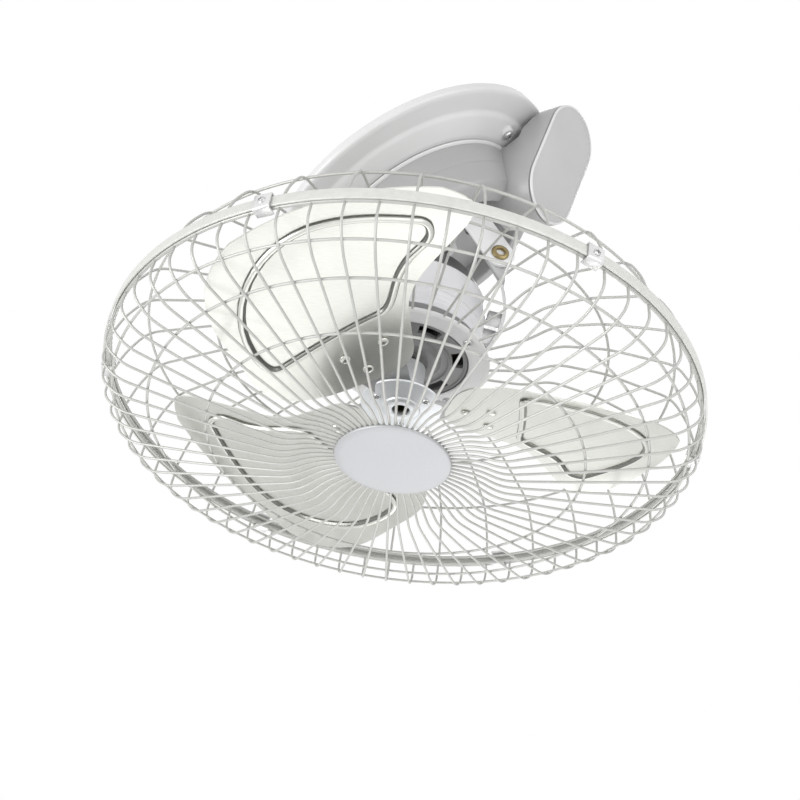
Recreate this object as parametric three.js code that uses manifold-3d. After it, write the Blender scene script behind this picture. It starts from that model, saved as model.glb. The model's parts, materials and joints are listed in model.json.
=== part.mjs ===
// Ceiling-hung orbit fan. Millimetres, +Z up, origin on the orbit axis at the ceiling.
// The head hangs from a turning arm, leans toward +X and blows down and outward.
import * as THREE from 'three';
import Module from 'manifold-3d';

const wasm = await Module();
wasm.setup();

// ---------- driving sizes ----------
const GAP = 0.3;                       // rest gap between touching pieces
const GUARD_R = 220;                   // rim radius of the cage
const HEAD_TILT = THREE.MathUtils.degToRad(37.5);
const PIVOT_Z = -112;                  // tilt pivot below the ceiling
const PIVOT_BACK = 123.5;              // rim plane ahead of the pivot
const PIVOT_OFFSET = 47.5;             // fan axis beside the pivot

const CANOPY_R = 129;
const CANOPY_T = 2.4;
const PLATE_R = CANOPY_R - 11;         // plate edge inside the canopy's wall
const PLATE_T = 2.5;
const MOUNT_HOLE_R = PLATE_R - 21;
const MOUNT_HOLE_BORE = 3.2;
const CABLE_HOLE_BORE = 6;
const CABLE_HOLE_AZ = THREE.MathUtils.degToRad(157);
const CANOPY_SCREW_AZ = [127, 247, 7].map(THREE.MathUtils.degToRad);
const CANOPY_STEP_Z = -14;
const CANOPY_DEPTH = 20;
const CANOPY_RING1_R = CANOPY_R - 22;  // outer and inner edge of the sloping band
const CANOPY_RING2_R = CANOPY_RING1_R - 15;
const CANOPY_WELL_R = CANOPY_RING2_R - 6;
const CANOPY_SCREW_R = (CANOPY_RING1_R + CANOPY_RING2_R) / 2 - 0.5;
const CANOPY_BOSS_R = 5.5;
const CANOPY_BOSS_Z = 0.6 - CANOPY_DEPTH;
const SCREW_HEAD_R = 4;
const SCREW_HEAD_H = 2.4;

const STEM_R = 8;
const STEM_BORE_R = 5;
const STEM_FLANGE_R = 17;
const STEM_BOTTOM_Z = -61;

const TURRET_R = CANOPY_WELL_R + 1;     // the turret's edge hangs just below the canopy's inner edge
const TURRET_TOP_Z = -CANOPY_DEPTH - 1.5;
const TURRET_FLOOR_Z = -49;
const SKIRT_LOW_Z = -66;               // deeper rim round the yoke, open toward the fan head
const SKIRT_INNER_R = 65;
const SWEEP_CLEARANCE = 4;             // free height between the housing and the canopy
const HEAD_ROOM_R = 51;                // kept free under the floor for the yoke and the motor
const SHELL_T = 2.5;
const BEARING_R = 16;
const BEARING_H = 7;
const BEARING_TOP_Z = TURRET_FLOOR_Z + SHELL_T + BEARING_H - 1;

const GEAR_MODULE = 1.6;
const SUN_TEETH = 27;
const PINION_TEETH = 9;
const GEAR_TOP_Z = -11;
const GEAR_H = 6;
const PINION_AZ = THREE.MathUtils.degToRad(-60);

const NOSE_FACE = new THREE.Vector3(-85, 79, -60.5);
const NOSE_AZ = THREE.MathUtils.degToRad(115);
const NOSE_PITCH = THREE.MathUtils.degToRad(36);
const NOSE_ROLL = THREE.MathUtils.degToRad(53);
const NOSE_HALF_STRAIGHT = 26;
const NOSE_END_R = 29;
const NOSE_LENGTH = 90;
const NOSE_ROOT_SCALE = 0.92;
const PANEL_T = 2.5;
const BOARD_TOP = -7.4;                // nose frame, behind the panel
const BOARD_T = 1.6;

const EAR_Y = 57;                      // inner face of each yoke ear
const EAR_T = 3;
const EAR_HALF_W = 12;
const PIN_R = 4;

const MOTOR_R = 54;
const MOTOR_FRONT_Z = -49;             // head frame, behind the rim plane
const DRUM_BACK_Z = -104;
const MOTOR_BACK_Z = -140;
const MOTOR_WALL = 2.6;
const SHAFT_R = 5;
const BALL_RACE_R = 11;
const BALL_RACE_H = 8;

const WIRE_R = 1.1;
const RIM_WIRE_R = 1.4;
const WELD_GAP = 0.12;
const FRONT_WIRES = 64;
const REAR_WIRES = 32;
const BADGE_R = 42.7;
const BADGE_FRONT_Z = 46.5;
const BADGE_T = 2.5;
const BAND_HALF_W = 4.2;
const FOOT_T = 2.6;                    // rear guard's centre plate
const FOOT_INNER_R = 46;
const FOOT_OUTER_R = 62;
const GUARD_SCREW_R = (FOOT_INNER_R + FOOT_OUTER_R) / 2;
const GUARD_SCREWS = 4;
const GUARD_SCREW_AZ = THREE.MathUtils.degToRad(49);
const CLIP_STEPS = [0, 11, 21, 32, 43, 53];

const BLADE_COUNT = 3;
const BLADE_TIP_R = GUARD_R - 17;      // running room inside the cage
const BLADE_DRAWN_R = 203;             // tip radius that the outline points are drawn for
const BLADE_ROOT_R = 80;               // the riveted root ends here
const BLADE_PITCH = 0.3;
const BLADE_MID_Z = -6;
const BLADE_DISH = 6;
const BLADE_T = 1.3;
const BEAD_H = 1.4;
const BLADE_FIRST = THREE.MathUtils.degToRad(63);
const CAGE_TURN = THREE.MathUtils.degToRad(9);
const HUB_CUP_R = 31;

// ---------- finishes ----------
const finish = (color, metalness, roughness) => ({ color, metalness, roughness });
const PAINT = finish(0xc9c9cc, 0.1, 0.35);
const PALE_PAINT = finish(0xe2e2e6, 0.1, 0.35);
const WIRE_COAT = finish(0xb9b8b4, 0.35, 0.4);
const ALUMINIUM = finish(0xcfd0cb, 0.85, 0.35);
const STEEL = finish(0xa6a8aa, 0.9, 0.35);
const BRASS = finish(0xb08d3c, 0.9, 0.35);
const DARK = finish(0x2a2a2c, 0.1, 0.6);
const COPPER = finish(0xa8602c, 0.8, 0.45);
const BOARD = finish(0x2f6b3c, 0.0, 0.6);
const NYLON = finish(0xe9e4d4, 0.0, 0.5);

const group = new THREE.Group();
group.name = 'orbit_ceiling_fan';

// ---------- solid helpers ----------
function toSolid(geometry) {
  const src = geometry.index ? geometry.toNonIndexed() : geometry;
  const pos = src.attributes.position;
  const seen = new Map();
  const verts = [];
  const tris = [];
  for (let i = 0; i < pos.count; i += 3) {
    const ids = [0, 1, 2].map((k) => {
      const p = [pos.getX(i + k), pos.getY(i + k), pos.getZ(i + k)].map((v) => Math.round(v * 1e4) / 1e4);
      const key = p.join(',');
      if (!seen.has(key)) {
        seen.set(key, verts.length / 3);
        verts.push(...p);
      }
      return seen.get(key);
    });
    if (ids[0] !== ids[1] && ids[1] !== ids[2] && ids[2] !== ids[0]) {
      tris.push(...ids);
    }
  }
  return new wasm.Manifold(new wasm.Mesh({
    numProp: 3,
    vertProperties: new Float32Array(verts),
    triVerts: new Uint32Array(tris),
  }));
}

function toGeometry(solid) {
  const mesh = solid.getMesh();
  const geometry = new THREE.BufferGeometry();
  geometry.setAttribute('position', new THREE.BufferAttribute(new Float32Array(mesh.vertProperties), 3));
  geometry.setIndex(new THREE.BufferAttribute(new Uint32Array(mesh.triVerts), 1));
  return geometry;
}

function joinAll(solids) {
  let layer = solids;
  while (layer.length > 1) {
    const next = [];
    for (let i = 0; i < layer.length; i += 2) {
      next.push(i + 1 < layer.length ? layer[i].add(layer[i + 1]) : layer[i]);
    }
    layer = next;
  }
  return layer[0];
}

// One named piece in its parent's frame, at a position and turned about that frame's Z axis.
function addPiece(parent, name, solid, look, position = [0, 0, 0], turn = 0) {
  const geometry = toGeometry(solid);
  geometry.computeVertexNormals();
  const mesh = new THREE.Mesh(geometry, new THREE.MeshStandardMaterial(look));
  mesh.name = name;
  mesh.position.set(...position);
  mesh.rotation.z = turn;
  parent.add(mesh);
  return mesh;
}

function subGroup(parent, matrix = new THREE.Matrix4()) {
  const sub = new THREE.Group();
  matrix.decompose(sub.position, sub.quaternion, sub.scale);
  parent.add(sub);
  return sub;
}

// Turned body about Z from [radius, z] pairs, listed so that it closes on itself or on the axis.
function turned(pairs, segments = 36) {
  const closed = pairs[0][0] > 0;
  const ring = closed ? [...pairs, pairs[0]] : pairs;
  const geometry = new THREE.LatheGeometry(ring.map(([r, z]) => new THREE.Vector2(r, z)), segments);
  geometry.rotateX(Math.PI / 2);
  const solid = toSolid(geometry);
  return solid.volume() < 0 ? toSolid(flipped(geometry)) : solid;
}

function flipped(geometry) {
  const src = geometry.index ? geometry.toNonIndexed() : geometry.clone();
  const a = src.attributes.position.array;
  for (let i = 0; i < a.length; i += 9) {
    for (let k = 0; k < 3; k += 1) {
      [a[i + 3 + k], a[i + 6 + k]] = [a[i + 6 + k], a[i + 3 + k]];
    }
  }
  return src;
}

function tubeWall(inner, outer, low, high, segments = 36) {
  return turned([[inner, low], [outer, low], [outer, high], [inner, high]], segments);
}

function rod(radius, low, high, segments = 20) {
  return turned([[0, low], [radius, low], [radius, high], [0, high]], segments);
}

function block(x0, x1, y0, y1, z0, z1) {
  const geometry = new THREE.BoxGeometry(x1 - x0, y1 - y0, z1 - z0);
  geometry.translate((x0 + x1) / 2, (y0 + y1) / 2, (z0 + z1) / 2);
  return toSolid(geometry);
}

function prism(shape, low, high, curveSegments = 8) {
  const geometry = new THREE.ExtrudeGeometry(shape, {
    depth: high - low,
    bevelEnabled: false,
    curveSegments,
  });
  geometry.translate(0, 0, low);
  return toSolid(geometry);
}

// The same solid with every vertex carried by the matrix.
function placed(solid, matrix) {
  const mesh = solid.getMesh();
  const attribute = new THREE.BufferAttribute(new Float32Array(mesh.vertProperties), 3);
  attribute.applyMatrix4(matrix);
  return new wasm.Manifold(new wasm.Mesh({
    numProp: 3,
    vertProperties: attribute.array,
    triVerts: new Uint32Array(mesh.triVerts),
  }));
}

const QUARTER = Math.PI / 2;
const moved = (solid, x, y, z) => placed(solid, new THREE.Matrix4().makeTranslation(x, y, z));
const spun = (solid, angle) => placed(solid, new THREE.Matrix4().makeRotationZ(angle));
const tipped = (solid, angle) => placed(solid, new THREE.Matrix4().makeRotationX(angle));
const rolled = (solid, angle) => placed(solid, new THREE.Matrix4().makeRotationY(angle));
const polar = (r, angle) => [r * Math.cos(angle), r * Math.sin(angle)];

// ---------- frames ----------
const BLOW = new THREE.Vector3(Math.sin(HEAD_TILT), 0, -Math.cos(HEAD_TILT));
const HEAD_UP = new THREE.Vector3(Math.cos(HEAD_TILT), 0, Math.sin(HEAD_TILT));
const HEAD_ORIGIN = new THREE.Vector3(0, 0, PIVOT_Z)
  .addScaledVector(BLOW, PIVOT_BACK)
  .addScaledVector(HEAD_UP, PIVOT_OFFSET);
const HEAD = new THREE.Matrix4()
  .makeBasis(HEAD_UP, new THREE.Vector3(0, -1, 0), BLOW)
  .setPosition(HEAD_ORIGIN);

const NOSE_OUT = new THREE.Vector3(
  Math.cos(NOSE_PITCH) * Math.cos(NOSE_AZ),
  Math.cos(NOSE_PITCH) * Math.sin(NOSE_AZ),
  -Math.sin(NOSE_PITCH),
);
const NOSE_SIDE = new THREE.Vector3(0, 0, 1).cross(NOSE_OUT).normalize();
const NOSE_TOP = NOSE_OUT.clone().cross(NOSE_SIDE);
const NOSE_LONG = NOSE_SIDE.clone().multiplyScalar(Math.cos(NOSE_ROLL))
  .addScaledVector(NOSE_TOP, Math.sin(NOSE_ROLL));
const NOSE_WIDE = NOSE_OUT.clone().cross(NOSE_LONG);
const NOSE = new THREE.Matrix4().makeBasis(NOSE_LONG, NOSE_WIDE, NOSE_OUT).setPosition(NOSE_FACE);

// ---------- fixed base ----------
function mountPlate() {
  let plate = rod(PLATE_R, -PLATE_T, 0, 40);
  for (const angle of CANOPY_SCREW_AZ.map((az) => az + Math.PI / 3)) {
    const [x, y] = polar(MOUNT_HOLE_R, angle);
    plate = plate.subtract(moved(rod(MOUNT_HOLE_BORE, -PLATE_T - 1, 1, 24), x, y, 0));
  }
  const [x, y] = polar(MOUNT_HOLE_R, CABLE_HOLE_AZ);
  return plate.subtract(moved(rod(CABLE_HOLE_BORE, -PLATE_T - 1, 1, 12), x, y, 0));
}

function canopyUnderside() {
  const well = -PLATE_T - GAP - CANOPY_T;
  return [
    [CANOPY_R, -1],
    [CANOPY_R, -7],
    [CANOPY_R - 3, -8.5],
    [CANOPY_RING1_R + 3, -11],
    [CANOPY_RING1_R, CANOPY_STEP_Z],
    [CANOPY_RING2_R, -CANOPY_DEPTH],
    [CANOPY_WELL_R + 1, -CANOPY_DEPTH],
    [CANOPY_WELL_R - 3, well],
    [STEM_FLANGE_R + GAP, well],
  ];
}

function canopy() {
  const back = -PLATE_T - GAP;
  const upper = [
    [STEM_FLANGE_R + GAP, back],
    [CANOPY_WELL_R - 1, back],
    [CANOPY_RING2_R - 2, -CANOPY_DEPTH + CANOPY_T],
    [CANOPY_RING1_R - 1, CANOPY_STEP_Z + CANOPY_T],
    [CANOPY_R - CANOPY_T, -7.6 + CANOPY_T * 0.6],
    [CANOPY_R - CANOPY_T, -1],
  ];
  let shell = turned([...canopyUnderside(), ...upper], 40);
  for (const angle of CANOPY_SCREW_AZ) {
    const [x, y] = polar(CANOPY_SCREW_R, angle);
    const boss = rod(CANOPY_BOSS_R, CANOPY_BOSS_Z, CANOPY_STEP_Z - 2, 12)
      .subtract(rod(2.3, CANOPY_BOSS_Z - 1, CANOPY_STEP_Z, 8));
    const opening = rod(CANOPY_BOSS_R - 1.5, -CANOPY_DEPTH - 2, 0, 8);
    shell = shell.subtract(moved(opening, x, y, 0)).add(moved(boss, x, y, 0));
  }
  return shell;
}

function canopyScrew() {
  const seat = CANOPY_BOSS_Z - GAP;
  return turned([
    [0, seat - SCREW_HEAD_H], [SCREW_HEAD_R * 0.6, seat - SCREW_HEAD_H + 0.2],
    [SCREW_HEAD_R, seat - 1], [SCREW_HEAD_R, seat],
    [1.9, seat], [1.9, -PLATE_T - GAP], [0, -PLATE_T - GAP],
  ], 14);
}

function stem() {
  const top = -PLATE_T - GAP;
  return turned([
    [STEM_BORE_R, top],
    [STEM_FLANGE_R, top],
    [STEM_FLANGE_R, top - 3],
    [STEM_R, top - 3],
    [STEM_R, STEM_BOTTOM_Z],
    [STEM_BORE_R, STEM_BOTTOM_Z],
  ], 20);
}

function stemNut() {
  const shape = new THREE.Shape();
  for (let k = 0; k < 6; k += 1) {
    const [x, y] = polar(13.5, k * Math.PI / 3);
    if (k === 0) {
      shape.moveTo(x, y);
    } else {
      shape.lineTo(x, y);
    }
  }
  shape.closePath();
  const top = TURRET_FLOOR_Z - EAR_T - 2 * GAP;
  return prism(shape, top - 6, top).subtract(rod(STEM_R + GAP, top - 8, top + 2));
}

// Straight-flanked spur gear with backlash, centred on the origin.
function gear(teeth, boreR, low, high) {
  const pitchR = GEAR_MODULE * teeth / 2;
  const tipR = pitchR + GEAR_MODULE * 0.75;
  const rootR = pitchR - GEAR_MODULE * 1.1;
  const shape = new THREE.Shape();
  const step = 2 * Math.PI / teeth;
  for (let k = 0; k < teeth; k += 1) {
    const corners = [[rootR, -0.3], [tipR, -0.11], [tipR, 0.11], [rootR, 0.3]];
    corners.forEach(([r, part], i) => {
      const [x, y] = polar(r, (k + part) * step);
      if (k === 0 && i === 0) {
        shape.moveTo(x, y);
      } else {
        shape.lineTo(x, y);
      }
    });
  }
  shape.closePath();
  const blank = prism(shape, low, high);
  return boreR > 0 ? blank.subtract(rod(boreR, low - 1, high + 1)) : blank;
}

const SUN_R = GEAR_MODULE * SUN_TEETH / 2;
const PINION_R = GEAR_MODULE * PINION_TEETH / 2;
const GEAR_CENTRES = SUN_R + PINION_R + GAP;

function sunGear() {
  return gear(SUN_TEETH, STEM_R + GAP, GEAR_TOP_Z - GEAR_H, GEAR_TOP_Z);
}

function contactRings() {
  const low = -36;
  const high = GEAR_TOP_Z - GEAR_H - GAP;
  const inner = STEM_R + GAP;
  return turned([
    [inner, low], [13, low], [13, low + 5], [11.6, low + 5], [11.6, low + 7], [13, low + 7],
    [13, high], [inner, high],
  ], 20);
}

// ---------- turning arm ----------
// Capsule section; scale shrinks it toward the root, inset leaves the wall.
function capsulePoints(scale, inset) {
  const points = [];
  const radius = NOSE_END_R * scale - inset;
  const half = NOSE_HALF_STRAIGHT * scale;
  const steps = 7;
  for (let side = 0; side < 2; side += 1) {
    for (let i = 0; i <= steps; i += 1) {
      const angle = side * Math.PI - Math.PI / 2 + i * Math.PI / steps;
      const centre = side === 0 ? half : -half;
      points.push([centre + radius * Math.cos(angle), radius * Math.sin(angle)]);
    }
  }
  return points;
}

// Straight loft along the nose axis between two sections, in the nose frame.
function loft(sections) {
  const n = sections[0].points.length;
  const position = [];
  const push = (...corners) => corners.forEach((c) => position.push(...c));
  const at = (s, i) => [...sections[s].points[i % n], sections[s].z];
  for (let s = 0; s + 1 < sections.length; s += 1) {
    for (let i = 0; i < n; i += 1) {
      push(at(s, i), at(s, i + 1), at(s + 1, i + 1));
      push(at(s, i), at(s + 1, i + 1), at(s + 1, i));
    }
  }
  const last = sections.length - 1;
  for (let i = 1; i + 1 < n; i += 1) {
    push(at(0, 0), at(0, i + 1), at(0, i));
    push(at(last, 0), at(last, i), at(last, i + 1));
  }
  const geometry = new THREE.BufferGeometry();
  geometry.setAttribute('position', new THREE.BufferAttribute(new Float32Array(position), 3));
  return toSolid(geometry);
}

function noseBody(inset, reach) {
  return placed(loft([
    { z: -NOSE_LENGTH, points: capsulePoints(NOSE_ROOT_SCALE, inset) },
    { z: -14, points: capsulePoints(0.985, inset) },
    { z: reach, points: capsulePoints(1, inset) },
  ]), NOSE);
}

// Room kept free under the canopy and its screws while the arm turns; the inset leaves a roof.
function canopySweep(inset) {
  const clearance = SWEEP_CLEARANCE + inset;
  const roof = TURRET_TOP_Z + 1 - inset;
  const screwEdge = CANOPY_SCREW_R + SCREW_HEAD_R + 2;
  return turned([
    [0, roof], [TURRET_R + 2, roof], [TURRET_R + 4, -CANOPY_DEPTH - clearance],
    [screwEdge, -CANOPY_DEPTH - clearance], [CANOPY_RING1_R + 4, CANOPY_STEP_Z - clearance],
    [CANOPY_R + 5, -8 - clearance], [CANOPY_R + 5, NOSE_LENGTH], [0, NOSE_LENGTH],
  ], 32);
}

// The turret with its skirt; the inset leaves the wall.
function turretBody(inset) {
  const edge = TURRET_R - inset;
  const floor = TURRET_FLOOR_Z + inset;
  const low = SKIRT_LOW_Z + inset;
  const top = TURRET_TOP_Z + (inset > 0 ? 1 : 0);
  const bowl = turned([[0, floor], [edge - 9, floor], [edge - 2, floor + 8], [edge, top], [0, top]], 40);
  const skirt = turned([
    [SKIRT_INNER_R + inset, low], [edge - 12, low], [edge - 4, low + 7], [edge - 1.4, floor + 10],
    [SKIRT_INNER_R + inset, floor + 10],
  ], 40);
  const front = block(6 - inset, 2 * TURRET_R, -59 - inset, 59 + inset, 2 * SKIRT_LOW_Z, TURRET_FLOOR_Z + inset);
  return bowl.add(skirt.subtract(front));
}

function armHousing() {
  const drum = turretBody(0);
  const outer = noseBody(0, 0).subtract(canopySweep(0));
  const inner = noseBody(SHELL_T, 1).subtract(canopySweep(SHELL_T));
  const room = turretBody(SHELL_T);
  const seatTop = BEARING_TOP_Z - 1;
  const seatLow = TURRET_FLOOR_Z + SHELL_T - 0.5;
  const plinth = moved(rod(12, seatLow, BEARING_TOP_Z, 16), ...polar(GEAR_CENTRES, PINION_AZ), 0);
  const seat = tubeWall(BEARING_R - 2, BEARING_R + 3, seatLow, seatTop, 20)
    .add(plinth)
    .subtract(rod(BEARING_R + GAP, TURRET_FLOOR_Z + SHELL_T, seatTop + 5, 20));
  const underFloor = block(-200, 200, -200, 200, -200, TURRET_FLOOR_Z + SHELL_T)
    .intersect(rod(HEAD_ROOM_R + 1, -200, 0, 40));
  const hollow = inner.subtract(underFloor);
  const yokeWidth = EAR_HALF_W + 1;
  const yokeReach = EAR_Y + EAR_T + 1;
  const yokeRoom = block(-yokeWidth, yokeWidth, -yokeReach, yokeReach, PIVOT_Z, TURRET_FLOOR_Z);
  const trimmed = outer.subtract(rod(HEAD_ROOM_R, -200, TURRET_FLOOR_Z, 40)).subtract(yokeRoom);
  return drum.add(trimmed)
    .subtract(room)
    .subtract(hollow)
    .add(seat)
    .subtract(rod(STEM_R + 1.2, -100, 0, 16));
}

function nosePanel() {
  const cap = loft([
    { z: GAP, points: capsulePoints(1, 0) },
    { z: GAP + PANEL_T - 0.8, points: capsulePoints(1, 0) },
    { z: GAP + PANEL_T, points: capsulePoints(1, 0.8) },
  ]);
  const plug = loft([
    { z: -4, points: capsulePoints(1, SHELL_T + 1.2) },
    { z: GAP + 0.2, points: capsulePoints(1, SHELL_T + 1.2) },
  ]);
  const hollow = loft([
    { z: -5, points: capsulePoints(1, SHELL_T + 3) },
    { z: GAP + 0.1, points: capsulePoints(1, SHELL_T + 3) },
  ]);
  const posts = [-28, 28].map((x) => moved(rod(2.6, BOARD_TOP + GAP, GAP + 0.5, 8), x, 0, 0));
  return cap.add(plug).subtract(hollow).add(posts[0]).add(posts[1]);
}

function orbitBearing() {
  return tubeWall(STEM_R + GAP, BEARING_R, TURRET_FLOOR_Z + SHELL_T + GAP, BEARING_TOP_Z, 20);
}

function driveMotor() {
  const base = BEARING_TOP_Z + GAP;
  return turned([
    [0, base], [13, base], [14, base + 1], [14, -22], [13, -21], [5, -21], [5, -19], [2.3, -19],
    [2.3, -21.5], [0, -21.5],
  ], 16);
}

// Turn that puts a pinion gap on the fixed gear's nearest tooth.
function pinionTurn() {
  const offset = -PINION_AZ * SUN_TEETH / (2 * Math.PI);
  return PINION_AZ + Math.PI + (0.5 - (offset - Math.floor(offset))) * 2 * Math.PI / PINION_TEETH;
}

function pinion() {
  return gear(PINION_TEETH, 0, GEAR_TOP_Z - GEAR_H, GEAR_TOP_Z - GAP)
    .add(rod(1.9, -21, GEAR_TOP_Z - GEAR_H + 1, 12));
}

function brushBlock() {
  const low = TURRET_FLOOR_Z + SHELL_T + GAP;
  const post = block(-31, -21, -5, 5, low, -23);
  const upper = block(-22, -13.4, -2, 2, -27, -24.5);
  const lower = block(-22, -13.4, -2, 2, -33, -30.5);
  return post.add(upper).add(lower);
}

function receiverBoard() {
  return block(-34, 34, -15, 15, BOARD_TOP - BOARD_T, BOARD_TOP);
}

function receiverEye() {
  return rod(4, BOARD_TOP + GAP, 0, 16);
}

function runCapacitor() {
  return block(-26, 4, -9, 9, -28, BOARD_TOP - BOARD_T - GAP);
}

function yoke() {
  const top = TURRET_FLOOR_Z - GAP;
  const bridge = block(-EAR_HALF_W, EAR_HALF_W, -EAR_Y - EAR_T, EAR_Y + EAR_T, top - EAR_T, top);
  const ears = [-1, 1].map((side) => {
    const shape = new THREE.Shape();
    shape.moveTo(-EAR_HALF_W, top);
    shape.lineTo(EAR_HALF_W, top);
    shape.lineTo(EAR_HALF_W, PIVOT_Z);
    shape.absarc(0, PIVOT_Z, EAR_HALF_W, 0, -Math.PI, true);
    shape.closePath();
    const plate = prism(shape, 0, EAR_T, 10);
    const upright = tipped(plate, QUARTER);
    return moved(upright, 0, side > 0 ? EAR_Y + EAR_T : -EAR_Y, 0);
  });
  const pinHole = tipped(rod(PIN_R + GAP, -90, 90, 12), QUARTER);
  return bridge.add(ears[0]).add(ears[1])
    .subtract(rod(STEM_R + 1.2, -100, 0, 16))
    .subtract(moved(pinHole, 0, 0, PIVOT_Z));
}

function pivotPin(side) {
  const out = EAR_Y + EAR_T;
  const pin = turned([
    [0, EAR_Y - 9], [6.2, EAR_Y - 9], [6.2, EAR_Y - 4], [PIN_R, EAR_Y - 4], [PIN_R, out + GAP],
    [7, out + GAP], [7, out + 1.6], [5.4, out + 2.6], [2.6, out + 2.6], [2.2, out + 1.6], [0, out + 1.6],
  ], 14);
  return tipped(pin, side > 0 ? -QUARTER : QUARTER);
}

// ---------- fan head (head frame: Z blows forward, X up the tilt) ----------
const STRAP_T = 2.8;
const STRAP_Y = EAR_Y - GAP - STRAP_T;
const STRAP_EAR_R = 11;
const STRAP_BULGE = 15;                // bow of the band beyond the ends of its ears
const STRAP_FRONT_Z = DRUM_BACK_Z + 8;
const STRAP_BACK_Z = DRUM_BACK_Z - 14;

// C-shaped band round the motor's low side, hung from the two pivot pins.
function cStrap() {
  const outY = STRAP_Y + STRAP_T;
  const endX = -PIVOT_OFFSET - 6;
  const bowR = (outY ** 2 + STRAP_BULGE ** 2) / (2 * STRAP_BULGE);
  const half = Math.asin(outY / bowR);
  const centreX = endX - STRAP_BULGE + bowR;
  const bow = new THREE.Shape();
  bow.absarc(centreX, 0, bowR, Math.PI - half, Math.PI + half, false);
  bow.absarc(centreX, 0, bowR - STRAP_T, Math.PI + half, Math.PI - half, true);
  bow.closePath();
  const band = prism(bow, STRAP_BACK_Z, STRAP_FRONT_Z, 16);
  const wall = new THREE.Shape();
  wall.moveTo(endX - 1, STRAP_BACK_Z);
  wall.lineTo(endX - 1, STRAP_FRONT_Z);
  wall.lineTo(endX + 1, STRAP_FRONT_Z);
  wall.lineTo(-PIVOT_OFFSET + STRAP_EAR_R * Math.cos(0.6), -PIVOT_BACK + STRAP_EAR_R * Math.sin(0.6));
  wall.absarc(-PIVOT_OFFSET, -PIVOT_BACK, STRAP_EAR_R, 0.6, -Math.PI * 0.95, true);
  wall.closePath();
  const plate = tipped(prism(wall, 0, STRAP_T, 8), QUARTER);
  const cheeks = [outY, -STRAP_Y].map((y) => moved(plate, 0, y, 0));
  const seatX = centreX - bowR + STRAP_T / 2;
  const pads = [block(seatX, -MOTOR_R + 6, -17, -5, DRUM_BACK_Z + 1, STRAP_FRONT_Z - 1),
    block(seatX, -MOTOR_R + 6, 5, 17, DRUM_BACK_Z + 1, STRAP_FRONT_Z - 1)]
    .map((pad) => pad.subtract(rod(MOTOR_R + GAP, DRUM_BACK_Z, 0, 36)));
  const pin = tipped(rod(PIN_R + GAP, -90, 90, 12), QUARTER);
  const bore = moved(pin, -PIVOT_OFFSET, 0, -PIVOT_BACK);
  return joinAll([band, ...cheeks, ...pads]).subtract(bore);
}

function guardScrewSpots() {
  const spots = [];
  for (let k = 0; k < GUARD_SCREWS; k += 1) {
    spots.push(polar(GUARD_SCREW_R, GUARD_SCREW_AZ + k * 2 * Math.PI / GUARD_SCREWS));
  }
  return spots;
}

function frontShield() {
  const front = MOTOR_FRONT_Z;
  let shield = turned([
    [BALL_RACE_R + GAP, front - BALL_RACE_H], [22, front - BALL_RACE_H], [22, front - 3],
    [MOTOR_R - MOTOR_WALL, front - 3], [MOTOR_R - MOTOR_WALL, front - 11], [MOTOR_R, front - 11],
    [MOTOR_R, front - 2], [MOTOR_R - 2, front], [25, front], [22, front + 3.5], [15, front + 3.5],
    [SHAFT_R + 1, front + 1.5], [SHAFT_R + 1, front - GAP], [BALL_RACE_R + GAP, front - GAP],
  ], 32);
  const half = 0.36;
  const slot = new THREE.Shape();
  slot.absarc(0, 0, 42, -half, half, false);
  slot.absarc(0, 0, 33, half, -half, true);
  slot.closePath();
  const vent = prism(slot, front - 6, front + 2, 2);
  for (let k = 0; k < 6; k += 1) {
    shield = shield.subtract(spun(vent, (k + 1 / 3) * Math.PI / 3));
  }
  return shield;
}

function motorDrum() {
  return tubeWall(MOTOR_R - MOTOR_WALL, MOTOR_R, DRUM_BACK_Z, MOTOR_FRONT_Z - 11 - GAP, 36);
}

function rearDome() {
  const back = MOTOR_BACK_Z;
  const lip = DRUM_BACK_Z - GAP;
  return turned([
    [0, back], [20, back], [27, back + 3], [43, back + 14.5], [MOTOR_R, lip],
    [MOTOR_R - MOTOR_WALL, lip], [41, back + 16.4], [26, back + 5.6],
    [BALL_RACE_R + 3, back + 4], [BALL_RACE_R + 3, back + 4 + BALL_RACE_H],
    [BALL_RACE_R + GAP, back + 4 + BALL_RACE_H], [BALL_RACE_R + GAP, back + 3], [0, back + 3],
  ], 36);
}

function ballRace(low) {
  return tubeWall(SHAFT_R + GAP, BALL_RACE_R, low, low + BALL_RACE_H - 1.2, 16);
}

const CORE_LOW = -98;
const CORE_HIGH = -70;
const CORE_R = 25;

function statorCore() {
  const outer = MOTOR_R - MOTOR_WALL - GAP;
  let core = tubeWall(CORE_R + 0.6, outer, CORE_LOW, CORE_HIGH, 32);
  for (let k = 0; k < 8; k += 1) {
    const slot = block(30, 41, -3.4, 3.4, CORE_LOW - 1, CORE_HIGH + 1);
    core = core.subtract(spun(slot, k * Math.PI / 4));
  }
  return core;
}

function winding(low, high) {
  const mid = (low + high) / 2;
  return turned([[32, low], [39, low], [42, mid], [39, high], [32, high], [29, mid]], 20);
}

// Wire paths of the two guard halves as [radius, z]; both end under the rim band.
const RIM_WIRE_PLACE = GUARD_R - 3;
const REAR_PATH = [
  [FOOT_OUTER_R - 2, -47.6], [92, -52], [113, -62], [150, -58.5],
  [RIM_WIRE_PLACE - 17, -43], [RIM_WIRE_PLACE - 5, -22], [RIM_WIRE_PLACE, -3.5],
];
const FRONT_PATH = [
  [35, 42.4], [62, 43.5], [80, 50.5], [137, 42.5],
  [RIM_WIRE_PLACE - 13, 32], [RIM_WIRE_PLACE + 1.5, 20], [RIM_WIRE_PLACE, 3.5],
];
const REAR_HOOPS = [150, RIM_WIRE_PLACE - 19];
const FRONT_HOOPS = [137, RIM_WIRE_PLACE - 36, RIM_WIRE_PLACE - 9];

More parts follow.
